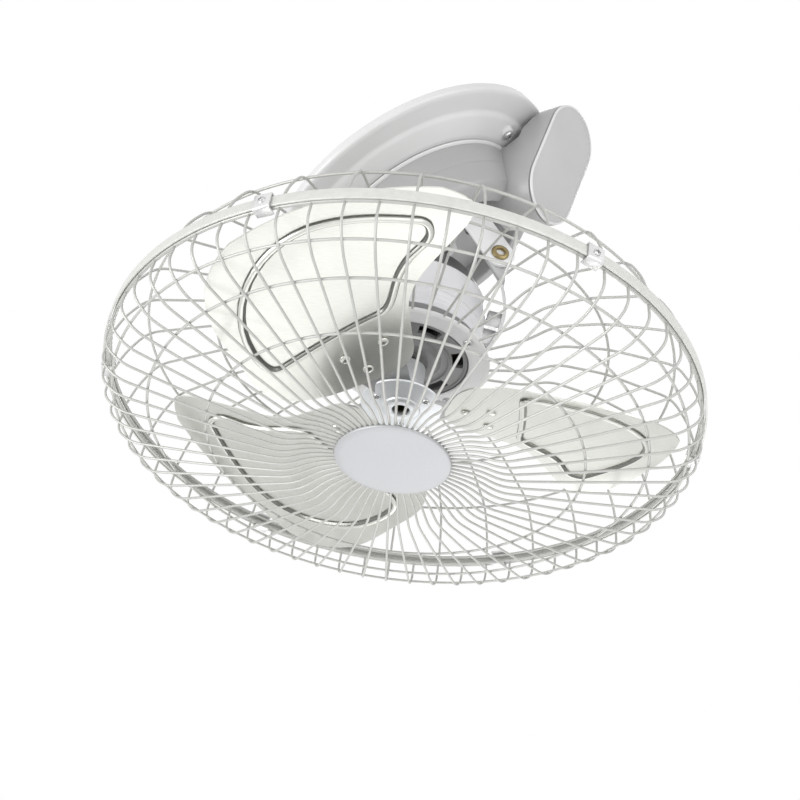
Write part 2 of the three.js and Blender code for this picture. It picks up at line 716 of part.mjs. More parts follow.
function rearGuard() {
  const angles = [];
  for (let k = 0; k < REAR_WIRES; k += 1) {
    angles.push((k + 0.25) * 2 * Math.PI / REAR_WIRES);
  }
  const wires = angles.map((angle) => cageWire(REAR_PATH, angle, WIRE_R));
  const plateLow = MOTOR_FRONT_Z + GAP;
  const plate = tubeWall(FOOT_INNER_R, FOOT_OUTER_R, plateLow, plateLow + FOOT_T, REAR_WIRES);
  const welded = angles.filter((angle, k) => k % 8 === 0);
  const hoops = REAR_HOOPS.map((r) => weldedHoop(REAR_PATH, r, welded, 1, 36));
  return joinAll([...wires, ...hoops, plate, cageRing(RIM_WIRE_PLACE, -3, RIM_WIRE_R, FRONT_WIRES)]);
}

// Three-sided wire swept along [radius, z] points in the plane at the given angle.
function cageWire(path, angle, radius) {
  const out = new THREE.Vector3(Math.cos(angle), Math.sin(angle), 0);
  const side = new THREE.Vector3(-Math.sin(angle), Math.cos(angle), 0);
  const up = new THREE.Vector3(0, 0, 1);
  const frames = path.map(([r, z], i) => {
    const [pr, pz] = path[Math.max(i - 1, 0)];
    const [nr, nz] = path[Math.min(i + 1, path.length - 1)];
    const before = new THREE.Vector2(r - pr, z - pz).normalize();
    const after = new THREE.Vector2(nr - r, nz - z).normalize();
    const mean = before.clone().add(after).normalize();
    const bend = before.length() && after.length() ? before.dot(after) : 1;
    const miter = 1 / Math.sqrt((1 + bend) / 2);
    const centre = out.clone().multiplyScalar(r).addScaledVector(up, z);
    const normal = out.clone().multiplyScalar(-mean.y).addScaledVector(up, mean.x);
    return { centre, normal: normal.multiplyScalar(miter) };
  });
  const corner = ({ centre, normal }, k) => {
    const a = (k + 0.75) * 2 * Math.PI / 3;
    return centre.clone()
      .addScaledVector(side, radius * Math.cos(a))
      .addScaledVector(normal, radius * Math.sin(a))
      .toArray();
  };
  const position = [];
  const push = (...corners) => corners.forEach((c) => position.push(...c));
  for (let i = 0; i + 1 < frames.length; i += 1) {
    for (let k = 0; k < 3; k += 1) {
      const [a, b] = [corner(frames[i], k), corner(frames[i], k + 1)];
      const [c, d] = [corner(frames[i + 1], k + 1), corner(frames[i + 1], k)];
      push(a, c, b);
      push(a, d, c);
    }
  }
  const [first, last] = [frames[0], frames[frames.length - 1]];
  push(corner(first, 0), corner(first, 1), corner(first, 2));
  push(corner(last, 0), corner(last, 2), corner(last, 1));
  const geometry = new THREE.BufferGeometry();
  geometry.setAttribute('position', new THREE.BufferAttribute(new Float32Array(position), 3));
  const solid = toSolid(geometry);
  return solid.volume() < 0 ? toSolid(flipped(geometry)) : solid;
}

// Flat-sided hoop whose facets each face a wire squarely.
function cageRing(radius, z, wire, segments) {
  return tubeWall(radius - wire, radius + wire, z - wire, z + wire, segments);
}

// Hoop lying against the wires on one side of them, joined by a weld at each listed angle.
function weldedHoop(path, radius, welded, side, segments) {
  const next = path.findIndex(([r]) => r > radius);
  const [[r0, z0], [r1, z1]] = [path[next - 1], path[next]];
  const wireZ = z0 + (z1 - z0) * (radius - r0) / (r1 - r0);
  const lean = Math.hypot(r1 - r0, z1 - z0) / Math.abs(r1 - r0);
  const z = wireZ + side * lean * (2.1 * WIRE_R + WELD_GAP);
  const beads = welded.map((angle) => {
    const [x, y] = polar(radius, angle);
    const bead = block(-WIRE_R * 0.7, WIRE_R * 0.7, -WIRE_R * 0.7, WIRE_R * 0.7,
      Math.min(z, wireZ), Math.max(z, wireZ));
    return moved(spun(bead, angle), x, y, 0);
  });
  const flat = WIRE_R * 0.9;
  const hoop = turned([[radius - flat, z - side * flat], [radius + flat, z - side * flat],
    [radius, z + side * flat]], segments);
  return joinAll([hoop, ...beads]);
}

function frontGuard() {
  const angles = [];
  for (let k = 0; k < FRONT_WIRES; k += 1) {
    angles.push((k + 0.5) * 2 * Math.PI / FRONT_WIRES);
  }
  const wires = angles.map((angle) => cageWire(FRONT_PATH, angle, WIRE_R));
  const welded = angles.filter((angle, k) => k % 16 === 5);
  const hoops = FRONT_HOOPS.map((r) => weldedHoop(FRONT_PATH, r, welded, -1, 40));
  return joinAll([
    ...wires,
    ...hoops,
    cageRing(34, 42.2, RIM_WIRE_R, FRONT_WIRES / 2),
    cageRing(RIM_WIRE_PLACE, 3, RIM_WIRE_R, FRONT_WIRES),
  ]);
}

function badge() {
  const back = BADGE_FRONT_Z - BADGE_T;
  return turned([[0, back], [BADGE_R, back], [BADGE_R, back + 1.4], [BADGE_R - 1.2, BADGE_FRONT_Z],
    [0, BADGE_FRONT_Z]], 40);
}

function badgeCup() {
  const back = BADGE_FRONT_Z - BADGE_T - GAP;
  return turned([[0, back - 7], [30, back - 7], [31.6, back - 5], [31.6, back], [0, back]], 20);
}

const BAND_INNER = RIM_WIRE_PLACE + RIM_WIRE_R + 0.8;

function rimBand() {
  return tubeWall(BAND_INNER, BAND_INNER + 1.4, -BAND_HALF_W, BAND_HALF_W, 48);
}

function rimClip() {
  const inner = RIM_WIRE_PLACE - 3;
  const bandOut = BAND_INNER + 1.4 + GAP;
  const wallOut = bandOut + 1.8;
  const low = BAND_HALF_W + 0.8;
  const high = low + 1.6;
  return block(bandOut, wallOut, -6, 6, -high, high)
    .add(block(inner, wallOut, -6, 6, low, high))
    .add(block(inner, wallOut, -6, 6, -high, -low))
    .add(moved(rolled(rod(2.6, -1.4, 1.4, 8), QUARTER), wallOut, 0, 0));
}

function guardScrew() {
  const top = MOTOR_FRONT_Z + FOOT_T + 2 * GAP;
  return turned([[0, top], [3.4, top], [3.4, top + 1.2], [2, top + 2.2], [0, top + 2.2]], 12);
}

// ---------- rotor ----------
const bladeHeight = (y) => BLADE_MID_Z + BLADE_PITCH * y + BLADE_DISH * ((y / 90) ** 2 - 0.25);

// Curved sheet between two offsets from the blade surface.
function sheet(low, high) {
  const [x0, x1, y0, y1] = [2, BLADE_TIP_R + 9, -112, 94];
  const rows = 7;
  const position = [];
  const push = (...corners) => corners.forEach((c) => position.push(...c));
  const y = (i) => y0 + (y1 - y0) * i / rows;
  const at = (x, i, off) => [x, y(i), bladeHeight(y(i)) + off];
  for (let i = 0; i < rows; i += 1) {
    push(at(x0, i, high), at(x1, i, high), at(x1, i + 1, high));
    push(at(x0, i, high), at(x1, i + 1, high), at(x0, i + 1, high));
    push(at(x0, i, low), at(x1, i + 1, low), at(x1, i, low));
    push(at(x0, i, low), at(x0, i + 1, low), at(x1, i + 1, low));
    push(at(x0, i, low), at(x0, i, high), at(x0, i + 1, high));
    push(at(x0, i, low), at(x0, i + 1, high), at(x0, i + 1, low));
    push(at(x1, i, low), at(x1, i + 1, high), at(x1, i, high));
    push(at(x1, i, low), at(x1, i + 1, low), at(x1, i + 1, high));
  }
  for (const [i, turn] of [[0, false], [rows, true]]) {
    const [a, b, c, d] = [at(x0, i, low), at(x1, i, low), at(x1, i, high), at(x0, i, high)];
    if (turn) {
      push(a, c, b);
      push(a, d, c);
    } else {
      push(a, b, c);
      push(a, c, d);
    }
  }
  const geometry = new THREE.BufferGeometry();
  geometry.setAttribute('position', new THREE.BufferAttribute(new Float32Array(position), 3));
  const solid = toSolid(geometry);
  return solid.volume() < 0 ? toSolid(flipped(geometry)) : solid;
}

// Outline point at a share of the blade's reach: the root keeps its place on the hub.
function bladePoint(x, y) {
  const stretch = (BLADE_TIP_R - BLADE_ROOT_R) / (BLADE_DRAWN_R - BLADE_ROOT_R);
  return x < BLADE_ROOT_R ? [x, y] : [BLADE_ROOT_R + (x - BLADE_ROOT_R) * stretch, y];
}

function bladeOutline() {
  const shape = new THREE.Shape();
  const lead = Math.atan2(48, 197);
  const trail = Math.atan2(-86, 183);
  shape.moveTo(33, 28);
  shape.bezierCurveTo(34, 66, 50, 80, ...bladePoint(76, 82));
  shape.lineTo(...bladePoint(128, 84.5));
  shape.bezierCurveTo(...bladePoint(158, 85), ...bladePoint(184, 74), ...polar(BLADE_TIP_R, lead));
  shape.absarc(0, 0, BLADE_TIP_R, lead, trail, true);
  shape.quadraticCurveTo(...bladePoint(164, -108), ...bladePoint(148, -92));
  shape.bezierCurveTo(...bladePoint(124, -62), ...bladePoint(112, -37), ...bladePoint(84, -33));
  shape.lineTo(52, -26);
  shape.quadraticCurveTo(34, -21, 33, 0);
  shape.closePath();
  return shape;
}

// Rounded panel whose edge carries the pressed bead; grow widens it about its middle.
function beadOutline(grow) {
  const middle = [137, 4];
  const p = (x, y) => bladePoint(middle[0] + (x - middle[0]) * grow, middle[1] + (y - middle[1]) * grow);
  const shape = new THREE.Shape();
  shape.moveTo(...p(157, -70));
  shape.bezierCurveTo(...p(176, -56), ...p(191, -26), ...p(190, 4));
  shape.bezierCurveTo(...p(188, 42), ...p(150, 74), ...p(104, 73));
  shape.bezierCurveTo(...p(84, 73), ...p(76, 66), ...p(81, 54));
  shape.bezierCurveTo(...p(90, 34), ...p(93, 20), ...p(95, -8));
  shape.bezierCurveTo(...p(97, -30), ...p(124, -38), ...p(143, -66));
  shape.quadraticCurveTo(...p(149, -76), ...p(157, -70));
  return shape;
}

const RIVETS = [[47, 9], [68, -9], [64, 20]];

function blade() {
  const base = sheet(0, BLADE_T).intersect(prism(bladeOutline(), -90, 90, 6));
  const band = prism(beadOutline(1.03), -90, 90, 4).subtract(prism(beadOutline(0.93), -91, 91, 4));
  const bead = sheet(BLADE_T / 2, BLADE_T + BEAD_H).intersect(band);
  let solid = base.add(bead);
  const rivet = tipped(turned([[0, BLADE_T / 2], [4.2, BLADE_T / 2], [4.2, BLADE_T + 1.4],
    [2.6, BLADE_T + 2.4], [0, BLADE_T + 2.4]], 10), Math.atan(BLADE_PITCH));
  for (const [x, y] of RIVETS) {
    solid = solid.add(moved(rivet, x, y, bladeHeight(y)));
  }
  return solid;
}

function hubSpider() {
  const cup = turned([
    [0, 0], [13, 0], [14.5, -1.5], [HUB_CUP_R, -12], [HUB_CUP_R, -15],
    [HUB_CUP_R - 4, -16.5], [14, -16.5], [14, -40], [0, -40],
  ], 24);
  const reach = BLADE_ROOT_R - 2;
  const arm = new THREE.Shape();
  arm.moveTo(12, -13);
  arm.lineTo(reach - 16, -19);
  arm.quadraticCurveTo(reach, -19, reach, -4);
  arm.lineTo(reach, 18);
  arm.quadraticCurveTo(reach - 2, 30, reach - 16, 30);
  arm.lineTo(12, 13);
  arm.closePath();
  const plate = sheet(-2 - GAP, -GAP).intersect(prism(arm, -90, 90, 5));
  let solid = cup;
  for (let k = 0; k < BLADE_COUNT; k += 1) {
    solid = solid.add(spun(plate, BLADE_FIRST + k * 2 * Math.PI / BLADE_COUNT));
  }
  return solid.subtract(rod(SHAFT_R + GAP, -60, 20, 16));
}

function shaft() {
  return rod(SHAFT_R, MOTOR_BACK_Z + 3 + GAP, -1.5, 16);
}

function rotorCore() {
  return tubeWall(SHAFT_R + GAP, CORE_R - 0.2, CORE_LOW, CORE_HIGH, 24);
}

// ---------- assembly ----------
const arm = subGroup(group);
const nose = subGroup(arm, NOSE);
const head = subGroup(group, HEAD);
const rotor = subGroup(head);

addPiece(group, 'mount_plate', mountPlate(), STEEL);
addPiece(group, 'canopy', canopy(), PAINT);
CANOPY_SCREW_AZ.forEach((angle, i) => {
  addPiece(group, `canopy_screw_${i + 1}`, canopyScrew(), STEEL, [...polar(CANOPY_SCREW_R, angle), 0]);
});
addPiece(group, 'hanger_stem', stem(), STEEL);
addPiece(group, 'stem_nut', stemNut(), STEEL);
addPiece(group, 'sun_gear', sunGear(), NYLON);
addPiece(group, 'contact_rings', contactRings(), COPPER);

const pinionSpot = [...polar(GEAR_CENTRES, PINION_AZ), 0];
addPiece(arm, 'arm_housing', armHousing(), PAINT);
addPiece(nose, 'nose_panel', nosePanel(), PAINT);
addPiece(arm, 'orbit_bearing', orbitBearing(), STEEL);
addPiece(arm, 'drive_motor', driveMotor(), STEEL, pinionSpot);
addPiece(arm, 'drive_pinion', pinion(), NYLON, pinionSpot, pinionTurn());
addPiece(arm, 'brush_block', brushBlock(), DARK, [0, 0, 0], -Math.PI / 9);
addPiece(nose, 'receiver_board', receiverBoard(), BOARD);
addPiece(nose, 'receiver_eye', receiverEye(), DARK, [12, 0, 0]);
addPiece(nose, 'run_capacitor', runCapacitor(), DARK);
addPiece(arm, 'yoke', yoke(), PALE_PAINT);
addPiece(arm, 'pivot_pin_near', pivotPin(1), BRASS, [0, 0, PIVOT_Z]);
addPiece(arm, 'pivot_pin_far', pivotPin(-1), BRASS, [0, 0, PIVOT_Z]);

addPiece(head, 'c_strap', cStrap(), PALE_PAINT);
addPiece(head, 'front_shield', frontShield(), PALE_PAINT);
addPiece(head, 'motor_drum', motorDrum(), PAINT);
addPiece(head, 'rear_dome', rearDome(), PAINT);
addPiece(head, 'front_race', ballRace(MOTOR_FRONT_Z - BALL_RACE_H + 0.4), STEEL);
addPiece(head, 'rear_race', ballRace(MOTOR_BACK_Z + 4), STEEL);
addPiece(head, 'stator_core', statorCore(), STEEL);
addPiece(head, 'winding_front', winding(CORE_HIGH + GAP, CORE_HIGH + 9), COPPER);
addPiece(head, 'winding_rear', winding(CORE_LOW - 9, CORE_LOW - GAP), COPPER);
addPiece(head, 'rear_guard', rearGuard(), WIRE_COAT, [0, 0, 0], CAGE_TURN);
guardScrewSpots().forEach(([x, y], i) => {
  addPiece(head, `guard_screw_${i + 1}`, guardScrew(), STEEL, [x, y, 0]);
});
addPiece(head, 'rim_band', rimBand(), WIRE_COAT, [0, 0, 0], CAGE_TURN);
CLIP_STEPS.forEach((step, i) => {
  const turn = CAGE_TURN + step * 2 * Math.PI / FRONT_WIRES;
  addPiece(head, `rim_clip_${i + 1}`, rimClip(), PALE_PAINT, [0, 0, 0], turn);
});
addPiece(head, 'front_guard', frontGuard(), WIRE_COAT, [0, 0, 0], CAGE_TURN);
addPiece(head, 'badge', badge(), PALE_PAINT);
addPiece(head, 'badge_cup', badgeCup(), DARK);

addPiece(rotor, 'hub_spider', hubSpider(), ALUMINIUM);
addPiece(rotor, 'shaft', shaft(), STEEL);
addPiece(rotor, 'rotor_core', rotorCore(), STEEL);
for (let k = 0; k < BLADE_COUNT; k += 1) {
  const turn = BLADE_FIRST + k * 2 * Math.PI / BLADE_COUNT;
  addPiece(rotor, `blade_${k + 1}`, blade(), ALUMINIUM, [0, 0, 0], turn);
}

export default group;
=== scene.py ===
"""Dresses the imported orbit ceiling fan: fine wires, pressed blades, painted housings and a plain stage."""

import json
import math

import bmesh
import bpy
from mathutils import Matrix, Vector


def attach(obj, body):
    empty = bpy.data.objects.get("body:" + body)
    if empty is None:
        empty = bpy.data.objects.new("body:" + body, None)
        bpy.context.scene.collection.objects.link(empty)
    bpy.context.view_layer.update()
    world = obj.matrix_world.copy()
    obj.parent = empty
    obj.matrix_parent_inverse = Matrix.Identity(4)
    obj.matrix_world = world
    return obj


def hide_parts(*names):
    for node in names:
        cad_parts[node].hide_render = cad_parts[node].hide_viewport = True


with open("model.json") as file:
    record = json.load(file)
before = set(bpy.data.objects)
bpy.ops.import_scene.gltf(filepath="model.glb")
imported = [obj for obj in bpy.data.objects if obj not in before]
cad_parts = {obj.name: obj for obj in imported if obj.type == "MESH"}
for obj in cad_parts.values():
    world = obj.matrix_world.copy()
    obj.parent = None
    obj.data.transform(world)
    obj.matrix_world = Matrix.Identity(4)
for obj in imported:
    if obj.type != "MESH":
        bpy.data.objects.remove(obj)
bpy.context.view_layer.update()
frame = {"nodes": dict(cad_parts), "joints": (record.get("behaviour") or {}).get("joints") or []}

bl_info = {
    "name": "Orbit ceiling fan",
    "version": (1, 0, 0),
    "blender": (4, 5, 0),
    "location": "View3D > Sidebar > Orbit fan",
    "description": "Builds the visible surfaces of an orbit ceiling fan round its solid model",
    "category": "Object",
}

# Lengths below are in millimetres, and MM turns them into metres. AXIS_REACH is how near the axis counts as on it.
MM = 0.001
AXIS_REACH = 1e-6
MERGE_REACH = 1e-6
JOINTS = {joint["name"]: joint for joint in frame["joints"]}

# ---------- frames taken from the model's joints ----------
BLOW = Vector(JOINTS["blade_spin"]["axis"]).normalized()
SIDE = Vector((0, -1, 0))
RISE = SIDE.cross(BLOW)
HEAD_ORIGIN = Vector(JOINTS["blade_spin"]["pos_m"])
PIVOT = Vector(JOINTS["head_tilt"]["pos_m"])


def frame_matrix(x_axis, y_axis, z_axis, origin):
    turn = Matrix((x_axis, y_axis, z_axis)).transposed().to_4x4()
    return Matrix.Translation(origin) @ turn


HEAD = frame_matrix(RISE, SIDE, BLOW, HEAD_ORIGIN)
WORLD = Matrix.Identity(4)
# UPRIGHT stands an outline's second axis along Z. CROWN_DOWN turns a piece over. ALONG_Y lays its first axis along Y.
UPRIGHT = Matrix.Rotation(math.pi / 2, 4, "X")
CROWN_DOWN = Matrix.Rotation(math.pi, 4, "X")
ALONG_Y = Matrix(((0, 0, 1, 0), (1, 0, 0, 0), (0, 1, 0, 0), (0, 0, 0, 1)))
CAGE_TURN = math.radians(9)
BLADE_FIRST = math.radians(63)

# The slanted housing points out and down; its end is a capsule whose long side is rolled about that direction.
NOSE_AZ = math.radians(115)
NOSE_PITCH = math.radians(36)
NOSE_ROLL = math.radians(53)
NOSE_OUT = Vector(
    (
        math.cos(NOSE_PITCH) * math.cos(NOSE_AZ),
        math.cos(NOSE_PITCH) * math.sin(NOSE_AZ),
        -math.sin(NOSE_PITCH),
    )
)
NOSE_SIDE = Vector((0, 0, 1)).cross(NOSE_OUT).normalized()
NOSE_TOP = NOSE_OUT.cross(NOSE_SIDE)
NOSE_LONG = NOSE_SIDE * math.cos(NOSE_ROLL) + NOSE_TOP * math.sin(NOSE_ROLL)
NOSE_FACE = Vector((-85, 79, -60.5)) * MM
NOSE = frame_matrix(NOSE_LONG, NOSE_OUT.cross(NOSE_LONG), NOSE_OUT, NOSE_FACE)


# ---------- settings shown in the sidebar ----------
def length(name, description, millimetres):
    return bpy.props.FloatProperty(
        name=name, description=description, default=millimetres * MM, unit="LENGTH", precision=4
    )


def wires(name, description, count):
    return bpy.props.IntProperty(name=name, description=description, default=count, min=8)


class CageSizes(bpy.types.PropertyGroup):
    """Sizes of the wire cage."""

    wire_radius: length("Wire radius", "Radius of a cage wire", 0.95)
    rim_wire_radius: length("Rim wire radius", "Radius of a rim ring's wire", 1.5)
    guard_radius: length("Guard radius", "Radius of the rim band", 220)
    front_wires: wires("Front wires", "Number of wires in the front guard", 64)
    rear_wires: wires("Rear wires", "Number of wires in the rear guard", 32)


class BladeSizes(bpy.types.PropertyGroup):
    """Sizes of the pressed blades."""

    tip_radius: length("Tip radius", "Reach of a blade from the shaft", 203)
    thickness: length("Thickness", "Thickness of the blade sheet", 1.3)
    bead_height: length("Bead height", "Height of the pressed bead", 1.6)
    bead_half_width: length("Bead half width", "Half the bead's width", 2.7)


def colour(name, description, default):
    return bpy.props.FloatVectorProperty(
        name=name, description=description, subtype="COLOR", size=3, min=0, max=1, default=default
    )


class FanColours(bpy.types.PropertyGroup):
    """Colours of the fan's finishes."""

    canopy: colour("Canopy paint", "Stepped canopy", (0.68, 0.68, 0.68))
    # The housing's colour is the canopy paint made darker: painted shade under the canopy.
    housing: colour("Housing paint", "Turret and slanted housing", (0.38, 0.38, 0.38))
    bracket: colour("Bracket paint", "Yoke and strap", (0.78, 0.78, 0.785))
    shield: colour("Shield paint", "Front shield of the motor", (0.20, 0.20, 0.20))
    motor: colour("Motor paint", "Motor drum", (0.70, 0.70, 0.72))
    wire: colour("Wire coating", "Cage wires", (0.52, 0.52, 0.50))
    blade: colour("Blade metal", "Pressed blades", (0.78, 0.785, 0.74))
    badge: colour("Badge", "Disc in the middle of the guard", (0.46, 0.465, 0.48))
    panel: colour("End panel", "Flat panel of the arm housing", (0.50, 0.50, 0.50))
    floor: colour("Floor", "Stage floor", (0.86, 0.86, 0.86))


# ---------- small geometry helpers ----------
def fillet(points, radius, steps=5, closed=False, turned=False):
    """The same outline with each corner rounded by up to the radius; a turned one keeps its points on the axis."""
    rounded = []
    count = len(points)
    for i, point in enumerate(points):
        here = Vector(point)
        if (not closed and i in (0, count - 1)) or (turned and here.x < AXIS_REACH):
            rounded.append(here)
            continue
        before = Vector(points[i - 1])
        after = Vector(points[(i + 1) % count])
        reach = min(radius, (before - here).length / 2, (after - here).length / 2)
        start = here + (before - here).normalized() * reach
        end = here + (after - here).normalized() * reach
        for k in range(steps + 1):
            t = k / steps
            rounded.append(start * (1 - t) ** 2 + here * (2 * t * (1 - t)) + end * t**2)
    return rounded


def new_object(name, mesh, place=WORLD, smooth_angle=35):
    mesh.transform(place)
    obj = bpy.data.objects.new(name, mesh)
    bpy.context.scene.collection.objects.link(obj)
    return smoothed(obj, smooth_angle)


def smoothed(obj, angle=35):
    obj.data.polygons.foreach_set("use_smooth", [True] * len(obj.data.polygons))
    obj.data.set_sharp_from_angle(angle=math.radians(angle))
    return obj


def mesh_from(name, verts, faces):
    mesh = bpy.data.meshes.new(name)
    mesh.from_pydata([tuple(v) for v in verts], [], faces)
    tidy_mesh(mesh)
    return mesh


def tidy_mesh(mesh):
    bm = bmesh.new()
    bm.from_mesh(mesh)
    bmesh.ops.remove_doubles(bm, verts=bm.verts, dist=MERGE_REACH)
    bmesh.ops.recalc_face_normals(bm, faces=bm.faces)
    bm.to_mesh(mesh)
    bm.free()


def revolved(profile, segments=96, centre=(0, 0)):
    """Vertices and faces of a closed [radius, z] profile in millimetres turned about the Z axis."""
    verts = []
    faces = []
    count = len(profile)
    for s in range(segments):
        angle = 2 * math.pi * s / segments
        for point in profile:
            x = centre[0] + point[0] * math.cos(angle)
            y = centre[1] + point[0] * math.sin(angle)
            verts.append((x * MM, y * MM, point[1] * MM))
    for s in range(segments):
        t = (s + 1) % segments
        for i in range(count):
            j = (i + 1) % count
            if profile[i][0] < AXIS_REACH and profile[j][0] < AXIS_REACH:
                continue
            faces.append((s * count + i, t * count + i, t * count + j, s * count + j))
    return verts, faces


def turned_piece(name, profile, place=WORLD, radius=0.8, segments=96, centre=(0, 0)):
    """A closed [radius, z] profile turned about Z, its corners rounded."""
    outline = fillet(profile, radius, 4, closed=True, turned=True)
    verts, faces = revolved(outline, segments, centre)
    return new_object(name, mesh_from(name, verts, faces), place)


def swept_tube(path, radius, sides=8, closed=False):
    """Vertices and faces of a round wire along points in metres."""
    points = [Vector(p) for p in path]
    count = len(points)
    verts = []
    faces = []
    normal = None
    for i, point in enumerate(points):
        before = points[i - 1] if closed or i > 0 else point
        after = points[(i + 1) % count] if closed or i + 1 < count else point
        along = (after - before).normalized()
        if normal is None:
            axis = Vector((0, 0, 1)) if abs(along.z) < 0.8 else Vector((1, 0, 0))
            normal = along.cross(axis).normalized()
        normal = (normal - along * normal.dot(along)).normalized()
        across = along.cross(normal)
        for k in range(sides):
            angle = 2 * math.pi * k / sides
            verts.append(point + normal * (radius * math.cos(angle)) + across * (radius * math.sin(angle)))
    last = count if closed else count - 1
    for i in range(last):
        j = (i + 1) % count
        for k in range(sides):
            m = (k + 1) % sides
            faces.append((i * sides + k, i * sides + m, j * sides + m, j * sides + k))
    if not closed:
        faces.append(tuple(range(sides)))
        faces.append(tuple((count - 1) * sides + k for k in range(sides)))
    return verts, faces


def joined(parts):
    """One list of vertices and faces from several."""
    verts = []
    faces = []
    for part_verts, part_faces in parts:
        offset = len(verts)
        verts.extend(part_verts)
        faces.extend(tuple(i + offset for i in face) for face in part_faces)
    return verts, faces


def radial_path(profile, angle):
    """Points in metres of a [radius, z] profile in millimetres standing in the plane at that angle."""
    return [(p[0] * math.cos(angle) * MM, p[0] * math.sin(angle) * MM, p[1] * MM) for p in profile]


def hoop_path(radius, height, steps=160):
    angles = [2 * math.pi * k / steps for k in range(steps)]
    return [(radius * math.cos(a) * MM, radius * math.sin(a) * MM, height * MM) for a in angles]


def extruded(outline, low, high):
    """Vertices and faces of a flat outline in millimetres between two heights."""
    count = len(outline)
    verts = [(p[0] * MM, p[1] * MM, z * MM) for z in (low, high) for p in outline]
    faces = [tuple(reversed(range(count))), tuple(range(count, 2 * count))]
    faces += [(i, (i + 1) % count, (i + 1) % count + count, i + count) for i in range(count)]
    return verts, faces


def add_bevel(obj, width, segments=2, angle=40):
    bevel = obj.modifiers.new("Edges", "BEVEL")
    bevel.width = width
    bevel.segments = segments
    bevel.limit_method = "ANGLE"
    bevel.angle_limit = math.radians(angle)
    bevel.harden_normals = True
    return obj


def cut_by(obj, tools, operation="DIFFERENCE"):
    """Cuts or joins the object by others, which are then removed."""
    for tool in tools:
        cut = obj.modifiers.new("Cut", "BOOLEAN")
        cut.operation = operation
        cut.solver = "EXACT"
        cut.object = tool
        apply_modifiers(obj)
        bpy.data.objects.remove(tool)
    tidy_mesh(obj.data)
    return smoothed(obj)


def apply_modifiers(obj):
    graph = bpy.context.evaluated_depsgraph_get()
    mesh = bpy.data.meshes.new_from_object(obj.evaluated_get(graph))
    obj.modifiers.clear()
    obj.data = mesh
    return obj


def prism_piece(name, outline, low, high, place=WORLD, bevel=0.0):
    """A flat outline in millimetres raised between two heights, its edges rounded by the bevel."""
    piece = new_object(name, mesh_from(name, *extruded(outline, low, high)), place)
    if bevel:
        apply_modifiers(add_bevel(piece, bevel * MM))
    return smoothed(piece)


def rectangle(x0, x1, y0, y1):
    return [(x0, y0), (x1, y0), (x1, y1), (x0, y1)]


def arc(centre, radius, start, end, steps=16):
    """Points on an arc, angles in degrees."""
    angles = [math.radians(start + (end - start) * k / steps) for k in range(steps + 1)]
    return [(centre[0] + radius * math.cos(a), centre[1] + radius * math.sin(a)) for a in angles]


def bezier(start, one, two, end, steps=12):
    """Points of a cubic curve after its start."""
    points = []
    for k in range(1, steps + 1):
        t = k / steps
        a, b, c, d = (1 - t) ** 3, 3 * t * (1 - t) ** 2, 3 * t * t * (1 - t), t**3
        points.append(tuple(a * start[i] + b * one[i] + c * two[i] + d * end[i] for i in (0, 1)))
    return points


def cross_head(name, radius, height, place):
    """Pan head of a screw with a cross recess, its seat at the place's origin and its crown toward +Z."""
    crown = [(0, 0), (radius, 0), (radius, height * 0.45), (radius * 0.8, height * 0.86), (radius * 0.4, height),
             (0, height)]
    head = turned_piece(name, crown, radius=0.25, segments=28)
    a, b = radius * 0.66, radius * 0.17
    plus = [
        (a, -b), (a, b), (b, b), (b, a), (-b, a), (-b, b), (-a, b), (-a, -b), (-b, -b), (-b, -a), (b, -a), (b, -b),
    ]
    cut_by(head, [prism_piece("recess", plus, height * 0.35, height + 1)])
    head.data.transform(place)
    return head


def folded_sheet(name, outline, spine, thickness, place, rows=60):
    """A flat sheet bent along a spine: its x runs along the spine from the middle, its y stays across."""
    ends = [0.0]
    for a, b in zip(spine, spine[1:]):
        ends.append(ends[-1] + (Vector(b) - Vector(a)).length)
    middle = ends[-1] / 2

    def on_spine(x):
        reach = min(max(x + middle, 0), ends[-1])
        k = next(i for i in range(1, len(ends)) if reach <= ends[i] + AXIS_REACH)
        share = (reach - ends[k - 1]) / (ends[k] - ends[k - 1])
        return Vector(spine[k - 1]).lerp(Vector(spine[k]), share)

    bm = bmesh.new()
    bm.faces.new([bm.verts.new((p[0], p[1], 0)) for p in outline])
    folds = sorted({end - middle for end in ends[1:-1]} | {(k / rows - 0.5) * 2 * middle for k in range(1, rows)})
    for x in folds:
        parts = bm.verts[:] + bm.edges[:] + bm.faces[:]
        bmesh.ops.bisect_plane(bm, geom=parts, plane_co=(x, 0, 0), plane_no=(1, 0, 0))
    for vert in bm.verts:
        spot = on_spine(vert.co.x)
        vert.co = Vector((spot.x, spot.y, vert.co.y)) * MM
    mesh = bpy.data.meshes.new(name)
    bm.to_mesh(mesh)
    bm.free()
    sheet = new_object(name, mesh, place)
    thick = sheet.modifiers.new("Sheet", "SOLIDIFY")
    thick.thickness = thickness * MM
    thick.offset = 1
    add_bevel(sheet, 0.5 * MM)
    return smoothed(apply_modifiers(sheet))


def dress(obj, body, slot, material, *nodes):
    """Gives a piece its body and material, and hides the nodes it stands for; the slot is not used."""
    if not obj.data.polygons:
        raise RuntimeError(f"{obj.name} has no faces")
    obj.data.materials.clear()
    obj.data.materials.append(material)
    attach(obj, body)
    if nodes:
        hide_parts(*nodes)
    return obj


# ---------- materials ----------
def shader_material(name):
    material = bpy.data.materials.new(name)
    material.use_nodes = True
    return material, material.node_tree, material.node_tree.nodes["Principled BSDF"]


